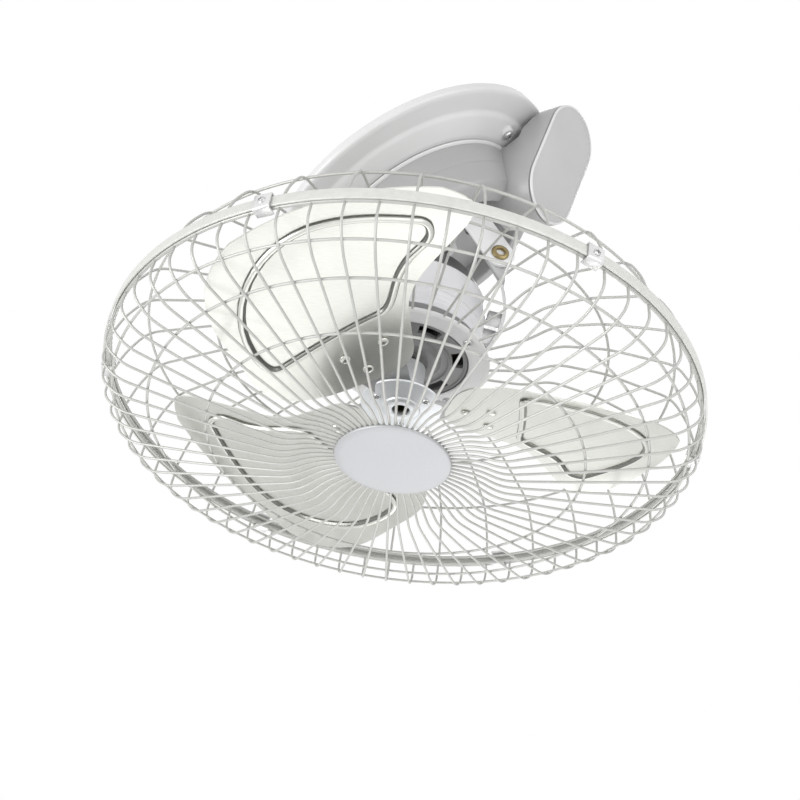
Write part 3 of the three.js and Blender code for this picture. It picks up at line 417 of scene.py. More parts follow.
def noise_node(tree, scale, detail, stretch=(1, 1, 1)):
    coords = tree.nodes.new("ShaderNodeTexCoord")
    mapping = tree.nodes.new("ShaderNodeMapping")
    mapping.inputs["Scale"].default_value = stretch
    noise = tree.nodes.new("ShaderNodeTexNoise")
    noise.inputs["Scale"].default_value = scale
    noise.inputs["Detail"].default_value = detail
    tree.links.new(coords.outputs["Object"], mapping.inputs["Vector"])
    tree.links.new(mapping.outputs["Vector"], noise.inputs["Vector"])
    return noise


def ramp_between(tree, factor, low, high, start=0.3, end=0.7):
    ramp = tree.nodes.new("ShaderNodeValToRGB")
    ramp.color_ramp.elements[0].position = start
    ramp.color_ramp.elements[1].position = end
    ramp.color_ramp.elements[0].color = (*low, 1)
    ramp.color_ramp.elements[1].color = (*high, 1)
    tree.links.new(factor, ramp.inputs["Fac"])
    return ramp.outputs["Color"]


def mapped(tree, factor, low, high):
    node = tree.nodes.new("ShaderNodeMapRange")
    node.inputs["To Min"].default_value = low
    node.inputs["To Max"].default_value = high
    tree.links.new(factor, node.inputs["Value"])
    return node.outputs["Result"]


def bump(tree, height, strength, distance):
    node = tree.nodes.new("ShaderNodeBump")
    node.inputs["Strength"].default_value = strength
    node.inputs["Distance"].default_value = distance
    tree.links.new(height, node.inputs["Height"])
    return node.outputs["Normal"]


def shade(colour_value, factor):
    return tuple(min(1, channel * factor) for channel in colour_value)


def paint(name, base, roughness=0.35, grain=900, coat=0.3):
    """Sprayed paint: faint mottling, orange-peel bump and softly varying gloss."""
    material, tree, shader = shader_material(name)
    broad = noise_node(tree, 18, 3)
    fine = noise_node(tree, grain, 2)
    colour_out = ramp_between(tree, broad.outputs["Fac"], shade(base, 0.965), shade(base, 1.03))
    tree.links.new(colour_out, shader.inputs["Base Color"])
    tree.links.new(mapped(tree, broad.outputs["Fac"], roughness - 0.05, roughness + 0.07), shader.inputs["Roughness"])
    tree.links.new(bump(tree, fine.outputs["Fac"], 0.12, 0.0002), shader.inputs["Normal"])
    shader.inputs["Coat Weight"].default_value = coat
    shader.inputs["Coat Roughness"].default_value = 0.2
    return material


def metal(name, base, roughness=0.3, stretch=(1, 1, 1), grain=500, metallic=1.0, depth=0.1):
    """Worked metal: drawn grain in the colour, gloss and bump."""
    material, tree, shader = shader_material(name)
    lines = noise_node(tree, grain, 5, stretch)
    broad = noise_node(tree, 22, 3)
    colour_out = ramp_between(tree, lines.outputs["Fac"], shade(base, 0.93), shade(base, 1.04), 0.25, 0.75)
    tree.links.new(colour_out, shader.inputs["Base Color"])
    tree.links.new(mapped(tree, broad.outputs["Fac"], roughness - 0.07, roughness + 0.08), shader.inputs["Roughness"])
    tree.links.new(bump(tree, lines.outputs["Fac"], depth, 0.0001), shader.inputs["Normal"])
    shader.inputs["Metallic"].default_value = metallic
    return material


def plastic(name, base, roughness=0.5, grain=1400):
    """Moulded plastic with a fine sparked grain."""
    material, tree, shader = shader_material(name)
    fine = noise_node(tree, grain, 2)
    colour_out = ramp_between(tree, fine.outputs["Fac"], shade(base, 0.92), shade(base, 1.06))
    tree.links.new(colour_out, shader.inputs["Base Color"])
    tree.links.new(mapped(tree, fine.outputs["Fac"], roughness - 0.06, roughness + 0.06), shader.inputs["Roughness"])
    tree.links.new(bump(tree, fine.outputs["Fac"], 0.15, 0.0002), shader.inputs["Normal"])
    return material


MATERIALS = {}


def make_materials():
    colours = bpy.context.scene.fan_colours
    MATERIALS.update(
        canopy=paint("canopy paint", tuple(colours.canopy), 0.33),
        # The housing paint is a darker copy of the canopy paint: painted shade.
        housing=paint("housing paint with painted shade", tuple(colours.housing), 0.36, coat=0.2),
        # The rear dome's dark metal stands in for the dark shading on the dome: painted shade.
        dome=metal("dome metal painted shade", (0.20, 0.20, 0.20), 0.3, (1, 1, 12), 200, 0.6, 0.08),
        bracket=paint("bracket paint", tuple(colours.bracket), 0.3, coat=0.4),
        motor=paint("motor paint", tuple(colours.motor), 0.28, coat=0.5),
        panel=paint("end panel", tuple(colours.panel), 0.45, coat=0.1),
        wire=metal("wire coating", tuple(colours.wire), 0.42, metallic=0.35, grain=700),
        band=metal("rim band", shade(tuple(colours.wire), 1.3), 0.4, metallic=0.3, grain=240, depth=0.02),
        blade=metal("blade sheet", tuple(colours.blade), 0.30, (1, 14, 1), 160, 0.93, 0.05),
        # The bead's flanks: the blade metal at 0.3 of its colour, a painted dark reflection.
        bead_flank=metal("bead flank painted reflection", shade(tuple(colours.blade), 0.30), 0.22, grain=400, depth=0.03),
        rivet=metal("rivet", shade(tuple(colours.blade), 0.92), 0.22, grain=500, depth=0.05),
        arm=metal("pressed arm", (0.46, 0.46, 0.46), 0.36, (1, 10, 1), 240, 0.75, 0.1),
        hub=metal("cast hub", (0.80, 0.82, 0.84), 0.38, grain=900, metallic=0.6, depth=0.2),
        shield=paint("shield paint", tuple(colours.shield), 0.34, grain=700, coat=0.2),
        dark_steel=metal("dark steel", (0.18, 0.17, 0.14), 0.4, grain=700),
        badge=metal("badge disc", tuple(colours.badge), 0.40, grain=1200, metallic=0.25, depth=0.04),
        steel=metal("bright screw", (0.62, 0.62, 0.62), 0.25, grain=800),
        plate=metal("zinc plate", (0.60, 0.61, 0.62), 0.35, (1, 8, 1), 300),
        clip=metal("pressed clip", (0.74, 0.74, 0.74), 0.33, grain=700, metallic=0.6),
        brass=metal("brass pin", (0.30, 0.24, 0.12), 0.3, grain=600),
        copper=metal("contact metal", (0.60, 0.36, 0.18), 0.3, grain=600),
        winding=metal("winding wire", (0.05, 0.03, 0.02), 0.4, (1, 1, 30), 300, 0.4),
        nylon=plastic("moulded nylon", (0.80, 0.77, 0.66), 0.45),
        black=plastic("black moulding", (0.02, 0.02, 0.022), 0.45),
        board=plastic("circuit board", (0.03, 0.16, 0.07), 0.4),
        badge_back=plastic("badge cup", (0.12, 0.12, 0.125), 0.5),
    )


NODE_FINISHES = {
    "plate": ["mount_plate"],
    "steel": [
        "stem_nut", "hanger_stem", "orbit_bearing", "drive_motor", "front_race", "rear_race", "stator_core",
        "rotor_core",
    ],
    "nylon": ["sun_gear", "drive_pinion"],
    "copper": ["contact_rings"],
    "black": ["brush_block", "run_capacitor", "receiver_eye"],
    "board": ["receiver_board"],
    "winding": ["winding_front", "winding_rear"],
    "badge_back": ["badge_cup"],
}


def finish_nodes():
    """Puts each finish in the material slots of the nodes that stay."""
    for finish, names in NODE_FINISHES.items():
        for name in names:
            node = frame["nodes"][name]
            node.data.materials.clear()
            node.data.materials.append(MATERIALS[finish])


# ---------- ceiling pieces ----------
CANOPY_UNDER = [
    (129, -1), (129, -7), (126, -8.5), (110, -11), (107, -14), (92, -20), (87, -20), (83, -5.2), (17.3, -5.2),
]
CANOPY_OVER = [(17.3, -2.8), (85, -2.8), (90, -17.6), (106, -11.6), (126.6, -6.2), (126.6, -1)]
CANOPY_SCREW_RADIUS = 99
CANOPY_SCREW_AZ = [127, 247, 7]
CANOPY_SCREW_SEAT = -19.7
CANOPY_BOSS = [(4.4, -14), (6.6, -14), (5.4, -19.4), (2.2, -19.4)]


class FAN_OT_canopy(bpy.types.Operator):
    """Builds the stepped canopy and its screws"""

    bl_idname = "fan.canopy"
    bl_label = "Canopy"

    def execute(self, context):
        canopy = turned_piece("canopy_skin", CANOPY_UNDER + CANOPY_OVER, radius=1.6, segments=160)
        dress(canopy, "ceiling_base", "canopy_paint", MATERIALS["canopy"], "canopy")
        for i, azimuth in enumerate(CANOPY_SCREW_AZ):
            angle = math.radians(azimuth)
            spot = (CANOPY_SCREW_RADIUS * math.cos(angle), CANOPY_SCREW_RADIUS * math.sin(angle))
            boss = turned_piece(f"canopy_boss_{i + 1}", CANOPY_BOSS, radius=0.5, segments=40, centre=spot)
            dress(boss, "ceiling_base", "canopy_paint", MATERIALS["canopy"])
            seat = Matrix.Translation(Vector((*spot, CANOPY_SCREW_SEAT)) * MM) @ CROWN_DOWN
            head = cross_head(f"canopy_screw_head_{i + 1}", 4, 2.3, seat)
            dress(head, "ceiling_base", "screw_steel", MATERIALS["steel"], f"canopy_screw_{i + 1}")
        return {"FINISHED"}


# ---------- turning arm ----------
TURRET_RADIUS = 87
TURRET_TOP = -21.5
TURRET_FLOOR = -49
LIP_TOP = -20.35
SKIRT_LOW = -66
SKIRT_INNER = 65
SKIRT_FRONT = 6
SKIRT_HALF = 59
SKIRT_LAP = 10
HEAD_ROOM = 51
YOKE_ROOM = (13, 61)
STEM_ROOM = 9.2
SHELL = 2.5
NOSE_HALF = 26
NOSE_END = 29
NOSE_ROOT = 0.92
NOSE_LENGTH = 90
NOSE_NEAR = 14


def capsule(scale, inset, steps=20):
    radius = NOSE_END * scale - inset
    half = NOSE_HALF * scale
    return arc((half, 0), radius, -90, 90, steps) + arc((-half, 0), radius, 90, 270, steps)


def lofted(sections):
    """Vertices and faces of rings of equal count: a list of (height, points) in millimetres."""
    count = len(sections[0][1])
    verts = [(p[0] * MM, p[1] * MM, z * MM) for z, points in sections for p in points]
    faces = [tuple(reversed(range(count)))]
    for s in range(len(sections) - 1):
        for i in range(count):
            j = (i + 1) % count
            faces.append((s * count + i, s * count + j, (s + 1) * count + j, (s + 1) * count + i))
    top = (len(sections) - 1) * count
    faces.append(tuple(range(top, top + count)))
    return verts, faces


def lofted_piece(name, sections, place):
    return new_object(name, mesh_from(name, *lofted(sections)), place)


def turret_piece(name, inset):
    """The bowl; the inset leaves its wall."""
    edge = TURRET_RADIUS - inset
    floor = TURRET_FLOOR + inset
    top = TURRET_TOP if inset == 0 else TURRET_TOP + 8
    bowl = [(0, floor), (edge - 9, floor), (edge - 2, floor + 8), (edge, TURRET_TOP), (edge, top), (0, top)]
    return turned_piece(name, bowl if inset else bowl[:4] + bowl[5:], radius=3, segments=160)


def skirt_piece():
    """The deeper rim round the yoke, open toward the fan head."""
    edge = TURRET_RADIUS
    lap = TURRET_FLOOR + SKIRT_LAP
    skirt = turned_piece(
        "skirt",
        [(SKIRT_INNER, SKIRT_LOW), (edge - 12, SKIRT_LOW), (edge - 4, SKIRT_LOW + 7), (edge - 1.4, lap),
         (SKIRT_INNER, lap)],
        radius=3, segments=160,
    )
    front = rectangle(SKIRT_FRONT, 2 * TURRET_RADIUS, -SKIRT_HALF, SKIRT_HALF)
    return cut_by(skirt, [prism_piece("front", front, 2 * SKIRT_LOW, TURRET_FLOOR)])


def nose_piece():
    """The slanted housing, trimmed under the canopy and over the fan head's yoke."""
    nose = lofted_piece(
        "nose",
        [(-NOSE_LENGTH, capsule(NOSE_ROOT, 0)), (-NOSE_NEAR, capsule(0.985, 0)), (-1.2, capsule(1, 0)),
         (-0.5, capsule(1, 0.25)), (0, capsule(1, 1.1))],
        NOSE,
    )
    roof = TURRET_TOP + 1
    floor = TURRET_FLOOR
    sweep = turned_piece(
        "sweep",
        [(0, roof), (TURRET_RADIUS + 2, roof), (TURRET_RADIUS + 4, -24), (105, -24), (111, -18), (134, -12),
         (134, 90), (0, 90)],
        radius=1, segments=128,
    )
    head_room = turned_piece("head_room", [(0, -200), (HEAD_ROOM, -200), (HEAD_ROOM, floor), (0, floor)])
    half, reach = YOKE_ROOM
    yoke_room = prism_piece("yoke_room", rectangle(-half, half, -reach, reach), PIVOT.z / MM, floor)
    return cut_by(nose, [sweep, head_room, yoke_room])


class FAN_OT_arm_housing(bpy.types.Operator):
    """Builds the turret, the slanted housing and its end panel"""

    bl_idname = "fan.arm_housing"
    bl_label = "Arm housing"

    def execute(self, context):
        housing = cut_by(turret_piece("arm_housing_skin", 0), [skirt_piece(), nose_piece()], "UNION")
        stem_hole = turned_piece("stem_hole", [(0, -90), (STEM_ROOM, -90), (STEM_ROOM, 0), (0, 0)], segments=40)
        cut_by(housing, [turret_piece("room", SHELL), stem_hole])
        # The turret and slanted housing get the darker copy of the canopy paint, which is painted shade; the lip and
        # the panel's rim keep the canopy paint.
        dress(housing, "orbit_arm", "canopy_paint", MATERIALS["housing"], "arm_housing")
        edge = TURRET_RADIUS
        lip = turned_piece(
            "turret_lip",
            [(edge - 2.3, TURRET_TOP - 1), (edge - 0.2, TURRET_TOP - 1.6), (edge + 1.6, TURRET_TOP - 0.4),
             (edge + 1.8, LIP_TOP), (edge - 2.3, LIP_TOP)],
            radius=0.7, segments=160,
        )
        dress(lip, "orbit_arm", "canopy_paint", MATERIALS["canopy"])
        rim = lofted_piece(
            "nose_rim",
            [(0.7, capsule(1, 1.4)), (0.9, capsule(1, 0.5)), (1.5, capsule(1, 0.1)), (2.3, capsule(1, 0.3)),
             (2.8, capsule(1, 1.0)), (2.7, capsule(1, 1.8)), (2.1, capsule(1, 2.1))],
            NOSE,
        )
        dress(rim, "orbit_arm", "canopy_paint", MATERIALS["canopy"], "nose_panel")
        panel = lofted_piece(
            "nose_panel_face", [(1.4, capsule(1, 2.3)), (2.25, capsule(1, 2.3)), (2.4, capsule(1, 2.6))], NOSE
        )
        dress(panel, "orbit_arm", "canopy_paint", MATERIALS["panel"])
        return {"FINISHED"}


EAR_INNER = 57
EAR_THICK = 3
EAR_HALF = 12
EYELET_R = 7


class FAN_OT_yoke(bpy.types.Operator):
    """Builds the folded yoke and the brass pins"""

    bl_idname = "fan.yoke"
    bl_label = "Yoke and pins"

    def execute(self, context):
        top = TURRET_FLOOR - 0.3
        reach = EAR_INNER + EAR_THICK
        low = PIVOT.z / MM - EAR_HALF
        spine = fillet([(-reach, low), (-reach, top), (reach, top), (reach, low)], 6, 8)
        half = sum((b - a).length for a, b in zip(spine, spine[1:])) / 2 - EAR_HALF
        flat = arc((half, 0), EAR_HALF, -90, 90, 28) + arc((-half, 0), EAR_HALF, 90, 270, 28)
        yoke = folded_sheet("yoke_bracket", flat, spine, EAR_THICK, ALONG_Y)
        dress(yoke, "orbit_arm", "bracket_paint", MATERIALS["bracket"], "yoke")
        for name, sign in (("near", 1), ("far", -1)):
            turn = Matrix.Translation(PIVOT) @ Matrix.Rotation(-sign * math.pi / 2, 4, "X")
            out = reach + 0.3
            eyelet = turned_piece(
                f"pivot_eyelet_{name}",
                [(0, EAR_INNER - 9), (6.2, EAR_INNER - 9), (6.2, EAR_INNER - 4), (4, EAR_INNER - 4), (4, out),
                 (EYELET_R, out), (EYELET_R, out + 1.2), (5.4, out + 2.3), (3.6, out + 2.3), (3.0, out - 4),
                 (0, out - 4)],
                turn, 0.5, 48,
            )
            dress(eyelet, "orbit_arm", "brass", MATERIALS["brass"], f"pivot_pin_{name}")
        return {"FINISHED"}


# ---------- fan head ----------
MOTOR_RADIUS = 54
MOTOR_INNER = 51.4
SHAFT_ROOM = 11.3
SHIELD_FRONT = -49
SHIELD_DEPTH = 11
SEAM = 0.3
DRUM_BACK = -104
MOTOR_BACK = -140
SHIELD_SCREWS = 4
SHIELD_SCREW_R = 47.5
SHIELD_SCREW_AZ = 133
VENTS = 6
VENT_INNER = 33.3
VENT_OUTER = 41.7
VENT_HALF = 13
DRUM_BANDS = [-64, -68, -72, -76]
BAND_DEPTH = 0.9


def motor_shield():
    """The front shield with its bearing boss, raised ring and curved vents."""
    front = SHIELD_FRONT
    shield = turned_piece(
        "motor_shield",
        [(SHAFT_ROOM, front - 8), (22, front - 8), (22, front - 3), (MOTOR_INNER, front - 3),
         (MOTOR_INNER, front - SHIELD_DEPTH), (MOTOR_RADIUS, front - SHIELD_DEPTH), (MOTOR_RADIUS, front - 2),
         (52, front), (45.5, front), (44.4, front + 1), (43.4, front + 1),
         (42.6, front), (32.4, front), (31.6, front + 1), (30.6, front + 1), (29.6, front), (25, front),
         (22, front + 3.5), (15, front + 3.5), (13, front + 1.5), (6, front + 1.5), (6, front - SEAM),
         (SHAFT_ROOM, front - SEAM)],
        HEAD, 0.8, 144,
    )
    vents = []
    for k in range(VENTS):
        middle = math.degrees((k + 1 / 3) * 2 * math.pi / VENTS)
        outer = arc((0, 0), VENT_OUTER, middle - VENT_HALF, middle + VENT_HALF, 14)
        inner = arc((0, 0), VENT_INNER, middle + VENT_HALF, middle - VENT_HALF, 14)
        vents.append(prism_piece(f"vent_{k}", fillet(outer + inner, 4, 6, True), front - 6, front + 2, HEAD))
    return cut_by(shield, vents)


class FAN_OT_motor(bpy.types.Operator):
    """Builds the motor's shield, drum, rear dome and screws"""

    bl_idname = "fan.motor"
    bl_label = "Motor"

    def execute(self, context):
        dress(motor_shield(), "fan_head", "bracket_paint", MATERIALS["shield"], "front_shield")
        front = SHIELD_FRONT - SHIELD_DEPTH - SEAM
        wall = [(MOTOR_RADIUS, DRUM_BACK), (MOTOR_RADIUS, DRUM_BANDS[-1] - 2)]
        groove = MOTOR_RADIUS - BAND_DEPTH
        for band in reversed(DRUM_BANDS):
            wall += [(groove, band - 1.6), (groove, band), (MOTOR_RADIUS, band + 0.4)]
        wall += [(MOTOR_RADIUS, front), (MOTOR_INNER, front)]
        drum = turned_piece("motor_drum_skin", [(MOTOR_INNER, DRUM_BACK), *wall], HEAD, 0.4, 144)
        dress(drum, "fan_head", "motor_paint", MATERIALS["motor"], "motor_drum")
        back = MOTOR_BACK
        lip = DRUM_BACK - SEAM
        dome = turned_piece(
            "motor_dome",
            [(0, back), (20, back), (27, back + 3), (43, back + 14.5), (MOTOR_RADIUS, lip),
             (MOTOR_INNER, lip), (41, back + 16.4), (26, back + 6), (14, back + 4), (14, back + 12),
             (SHAFT_ROOM, back + 12), (SHAFT_ROOM, back + 3), (0, back + 3)],
            HEAD, 2.4, 128,
        )
        # The rear dome gets the dark metal that paints its shade.
        dress(dome, "fan_head", "motor_paint", MATERIALS["dome"], "rear_dome")
        for k in range(SHIELD_SCREWS):
            angle = math.radians(SHIELD_SCREW_AZ) + k * math.pi / 2
            spot = Vector((SHIELD_SCREW_R * math.cos(angle), SHIELD_SCREW_R * math.sin(angle), SHIELD_FRONT)) * MM
            head = cross_head(f"shield_screw_{k + 1}", 2.9, 1.9, HEAD @ Matrix.Translation(spot))
            dress(head, "fan_head", "screw_steel", MATERIALS["steel"])
        return {"FINISHED"}


STRAP_T = 2.8
STRAP_OUT = 56.7
STRAP_END = -53.5
STRAP_BULGE = 15
STRAP_BACK = -118
STRAP_FRONT = -96
STRAP_EAR = 11
EAR_SPOT = (-47.5, -123.5)
PAD_REACH = -67
PAD_SPOTS = {"near": 11, "far": -11}
PAD_HALF = 6


class FAN_OT_strap(bpy.types.Operator):
    """Builds the bowed strap that the head hangs by"""

    bl_idname = "fan.strap"
    bl_label = "Strap"

    def execute(self, context):
        radius = (STRAP_OUT**2 + STRAP_BULGE**2) / (2 * STRAP_BULGE)
        half = math.degrees(math.asin(STRAP_OUT / radius))
        centre = (STRAP_END - STRAP_BULGE + radius, 0)
        bow = arc(centre, radius, 180 - half, 180 + half, 48)
        bow += arc(centre, radius - STRAP_T, 180 + half, 180 - half, 48)
        strap = prism_piece("strap_band", bow, STRAP_BACK, STRAP_FRONT, HEAD)
        ear = [(STRAP_END - 1, STRAP_BACK), (STRAP_END - 1, STRAP_FRONT), (STRAP_END + 1, STRAP_FRONT)]
        ear += arc(EAR_SPOT, STRAP_EAR, 34, -171, 36)
        for low in (STRAP_OUT - STRAP_T, -STRAP_OUT):
            cheek = prism_piece("cheek", ear, low, low + STRAP_T, HEAD @ UPRIGHT)
            cut_by(strap, [cheek], "UNION")
        smoothed(apply_modifiers(add_bevel(strap, 0.6 * MM)))
        dress(strap, "fan_head", "bracket_paint", MATERIALS["bracket"], "c_strap")
        for name, y in PAD_SPOTS.items():
            block = rectangle(PAD_REACH, -MOTOR_RADIUS, y - PAD_HALF, y + PAD_HALF)
            pad = prism_piece(f"strap_pad_{name}", block, DRUM_BACK + 1, STRAP_FRONT - 1, HEAD, 0.5)
            dress(pad, "fan_head", "bracket_paint", MATERIALS["bracket"])
        return {"FINISHED"}


GUARD_SCREW_RADIUS = 54
GUARD_SCREW_AZ = 49
GUARD_SCREWS = 4
GUARD_SCREW_SEAT = -45.8
FRONT_PATH = [(35, 42.4), (62, 43.5), (80, 50.5), (137, 42.5), (204, 32), (218.5, 20), (217, 3.5)]
REAR_PATH = [(60, -47.6), (92, -52), (113, -62), (150, -58.5), (200, -43), (212, -22), (217, -3.5)]
FRONT_HOOPS = [137, 181, 208]
REAR_HOOPS = [150, 198]
FRONT_OFFSET = 0.5
REAR_OFFSET = 0.25
CENTRE_RING = (34, 42)
RIM_RING = 3
CAGE_FOOT = [(46, -48.7), (62, -48.7), (62, -47.2), (59, -46.1), (49, -46.1), (46, -47.2)]


def height_on(path, radius):
    for (r0, z0), (r1, z1) in zip(path, path[1:]):
        if r0 <= radius <= r1:
            return z0 + (z1 - z0) * (radius - r0) / (r1 - r0)
    return path[-1][1]


def guard_parts(path, count, offset, hoops, side, sizes):
    """Wires and hoops of one guard half, in the cage's own frame; the side says where the hoops lie."""
    wire = sizes.wire_radius
    smooth = fillet(path, 9, 5)
    parts = []
    for k in range(count):
        angle = (k + offset) * 2 * math.pi / count
        parts.append(swept_tube(radial_path(smooth, angle), wire, 8))
    for radius in hoops:
        height = height_on(path, radius) + side * 2 * wire / MM
        parts.append(swept_tube(hoop_path(radius, height), wire * 1.05, 8, True))
    return parts


class FAN_OT_cage(bpy.types.Operator):
    """Builds both wire guards, the rear one's foot and its screws"""

    bl_idname = "fan.cage"
    bl_label = "Wire cage"

    def execute(self, context):
        sizes = context.scene.fan_cage
        place = HEAD @ Matrix.Rotation(CAGE_TURN, 4, "Z")
        rim = sizes.guard_radius / MM - RIM_RING
        front = guard_parts(FRONT_PATH, sizes.front_wires, FRONT_OFFSET, FRONT_HOOPS, -1, sizes)
        front.append(swept_tube(hoop_path(*CENTRE_RING), sizes.rim_wire_radius, 10, True))
        front.append(swept_tube(hoop_path(rim, RIM_RING), sizes.rim_wire_radius, 10, True))
        guard = new_object("front_guard_wires", mesh_from("front_guard_wires", *joined(front)), place, 60)
        dress(guard, "fan_head", "wire_coat", MATERIALS["wire"], "front_guard")

        rear = guard_parts(REAR_PATH, sizes.rear_wires, REAR_OFFSET, REAR_HOOPS, 1, sizes)
        rear.append(swept_tube(hoop_path(rim, -RIM_RING), sizes.rim_wire_radius, 10, True))
        guard = new_object("rear_guard_wires", mesh_from("rear_guard_wires", *joined(rear)), place, 60)
        dress(guard, "fan_head", "wire_coat", MATERIALS["wire"], "rear_guard")
        foot = turned_piece("rear_guard_foot", CAGE_FOOT, HEAD, 0.8, 96)
        dress(foot, "fan_head", "wire_coat", MATERIALS["bracket"])
        for k in range(GUARD_SCREWS):
            angle = math.radians(GUARD_SCREW_AZ) + k * 2 * math.pi / GUARD_SCREWS
            spot = (GUARD_SCREW_RADIUS * math.cos(angle), GUARD_SCREW_RADIUS * math.sin(angle), GUARD_SCREW_SEAT)
            seat = HEAD @ Matrix.Translation(Vector(spot) * MM)
            head = cross_head(f"guard_screw_head_{k + 1}", 3.4, 2.2, seat)
            dress(head, "fan_head", "screw_steel", MATERIALS["steel"], f"guard_screw_{k + 1}")
        return {"FINISHED"}


BAND_IN = 219.2
BAND_OUT = 220.6
BAND_HALF = 4.2
CLIP_STEPS = [0, 11, 21, 32, 43, 53]
CLIP_IN = 214
CLIP_WALL = (220.9, 222.5)
CLIP_LIP = (5.0, 6.4)
CLIP_HALF = 6


class FAN_OT_rim(bpy.types.Operator):
    """Builds the rim band and its clips with their screws"""

    bl_idname = "fan.rim"
    bl_label = "Rim band and clips"

    def execute(self, context):
        band = turned_piece(
            "rim_band_skin",
            [(BAND_IN, -BAND_HALF), (BAND_OUT, -BAND_HALF), (BAND_OUT, BAND_HALF), (BAND_IN, BAND_HALF)],
            HEAD, 0.5, 192,
        )
        dress(band, "fan_head", "wire_coat", MATERIALS["band"], "rim_band")
        near, far = CLIP_WALL
        low, high = CLIP_LIP
        outer = fillet([(CLIP_IN, high), (far, high), (far, -high), (CLIP_IN, -high)], 1.8, 4)
        inner = fillet([(CLIP_IN, -low), (near, -low), (near, low), (CLIP_IN, low)], 0.5, 3)
        steps = context.scene.fan_cage.front_wires
        for i, step in enumerate(CLIP_STEPS):
            place = HEAD @ Matrix.Rotation(CAGE_TURN + step * 2 * math.pi / steps, 4, "Z")
            clip = prism_piece(f"clip_{i + 1}", outer + inner, -CLIP_HALF, CLIP_HALF, place @ UPRIGHT, 0.3)
            dress(clip, "fan_head", "clip_metal", MATERIALS["clip"], f"rim_clip_{i + 1}")
            seat = place @ Matrix.Translation((far * MM, 0, 0)) @ Matrix.Rotation(math.pi / 2, 4, "Y")
            head = cross_head(f"clip_screw_{i + 1}", 2.6, 1.3, seat)
            dress(head, "fan_head", "clip_metal", MATERIALS["steel"])
        return {"FINISHED"}


class FAN_OT_badge(bpy.types.Operator):
    """Builds the bare disc in the middle of the guard"""

    bl_idname = "fan.badge"
    bl_label = "Badge"

    def execute(self, context):
        disc = turned_piece(
            "badge_disc",
            [(0, 44), (42.7, 44), (42.7, 45), (41.9, 46), (38, 46.5), (0, 46.5)],
            HEAD, 0.8, 128,
        )
        dress(disc, "fan_head", "badge_plate", MATERIALS["badge"], "badge")
        return {"FINISHED"}


# ---------- rotor ----------
BLADES = 3
# A bead's section has this many faces; those of its flanks, which carry a painted dark reflection, are listed after
# it.
BEAD_FACES = 9
BEAD_FLANK = (0, 1, 2, 7)
BLADE_PITCH = 0.3
BLADE_MID = -6
BLADE_DISH = 6
BLADE_ROWS = 60
BLADE_COLUMNS = 12
BLADE_HALF = 90
RIVETS = [(47, 9), (68, -9), (64, 20)]
RIVET = [(0, -0.6), (3.9, -0.6), (3.9, 0.2), (2.9, 0.9), (1.2, 1.2), (0, 1.2)]


def blade_height(y):
    """How far forward the pitched and dished blade lies at a place across it."""
    return BLADE_MID + BLADE_PITCH * y + BLADE_DISH * ((y / BLADE_HALF) ** 2 - 0.25)


def blade_outline(tip):
    """Outline of a blade lying along X, its tip on a circle of that radius."""
    lead = math.atan2(48, 197)
    trail = math.atan2(-86, 183)
    lead_tip = (tip * math.cos(lead), tip * math.sin(lead))
    trail_tip = (tip * math.cos(trail), tip * math.sin(trail))
    points = [(33, 28)]
    points += bezier((33, 28), (34, 66), (50, 80), (76, 82))
    points += [(128, 84.5)]
    points += bezier((128, 84.5), (158, 85), (184, 74), lead_tip)
    points += arc((0, 0), tip, math.degrees(lead), math.degrees(trail), 24)[1:]
    points += bezier(trail_tip, (164, -108), (160, -104), (148, -92), 8)
    points += bezier((148, -92), (124, -62), (112, -37), (84, -33))
    points += [(52, -26)]
    points += bezier((52, -26), (40, -22), (34, -14), (33, 0), 6)
    return points


def bead_line():
    """Middle of the pressed bead, a closed line with one rounded corner at each end of the root side."""
    points = []
    here = (163, -66)
    for one, two, end in (
        ((174, -46), (186, -22), (186, 2)),
        ((185, 36), (152, 70.5), (104, 71)),
        ((86, 71), (74, 68), (79, 56)),
        ((84, 36), (91, 8), (94, -14)),
        ((96, -30), (121, -30), (136, -51)),
        ((141, -58), (144, -67), (152, -69)),
        ((156, -70), (160, -70), (163, -66)),
    ):
        points += bezier(here, one, two, end)
        here = end
    return points


def surface_spot(x, y, lift):
    return Vector((x, y, blade_height(y) + lift)) * MM


def bead_ridge(name, sizes, place):
    """A narrow ridge with a soft crown along the bead's line, standing on the sheet."""
    line = [Vector(p) for p in bead_line()]
    half = sizes.bead_half_width / MM
    crown = sizes.bead_height / MM
    sheet = sizes.thickness / MM
    section = [(-1.0, -0.2), (-0.82, 0.1), (-0.62, 0.5), (-0.35, 0.88), (0, 1.0), (0.35, 0.88), (0.62, 0.5),
               (0.82, 0.1), (1.0, -0.2)]
    verts = []
    faces = []
    count = len(section)
    for i, point in enumerate(line):
        along = (line[(i + 1) % len(line)] - line[i - 1]).normalized()
        across = Vector((along.y, -along.x))
        for share, height in section:
            spot = point + across * (half * share)
            verts.append(surface_spot(spot.x, spot.y, sheet + crown * height))
    for i in range(len(line)):
        j = (i + 1) % len(line)
        for k in range(count):
            m = (k + 1) % count
            faces.append((i * count + k, i * count + m, j * count + m, j * count + k))
    return new_object(name, mesh_from(name, verts, faces), place, 60)


def paint_flank_reflection(ridge):
    """Gives the steep sides of a ridge a darker copy of the blade metal: a painted reflection of the dark parts of
    the fan.
    """
    ridge.data.materials.append(MATERIALS["bead_flank"])
    for i, face in enumerate(ridge.data.polygons):
        face.material_index = int(i % BEAD_FACES in BEAD_FLANK)


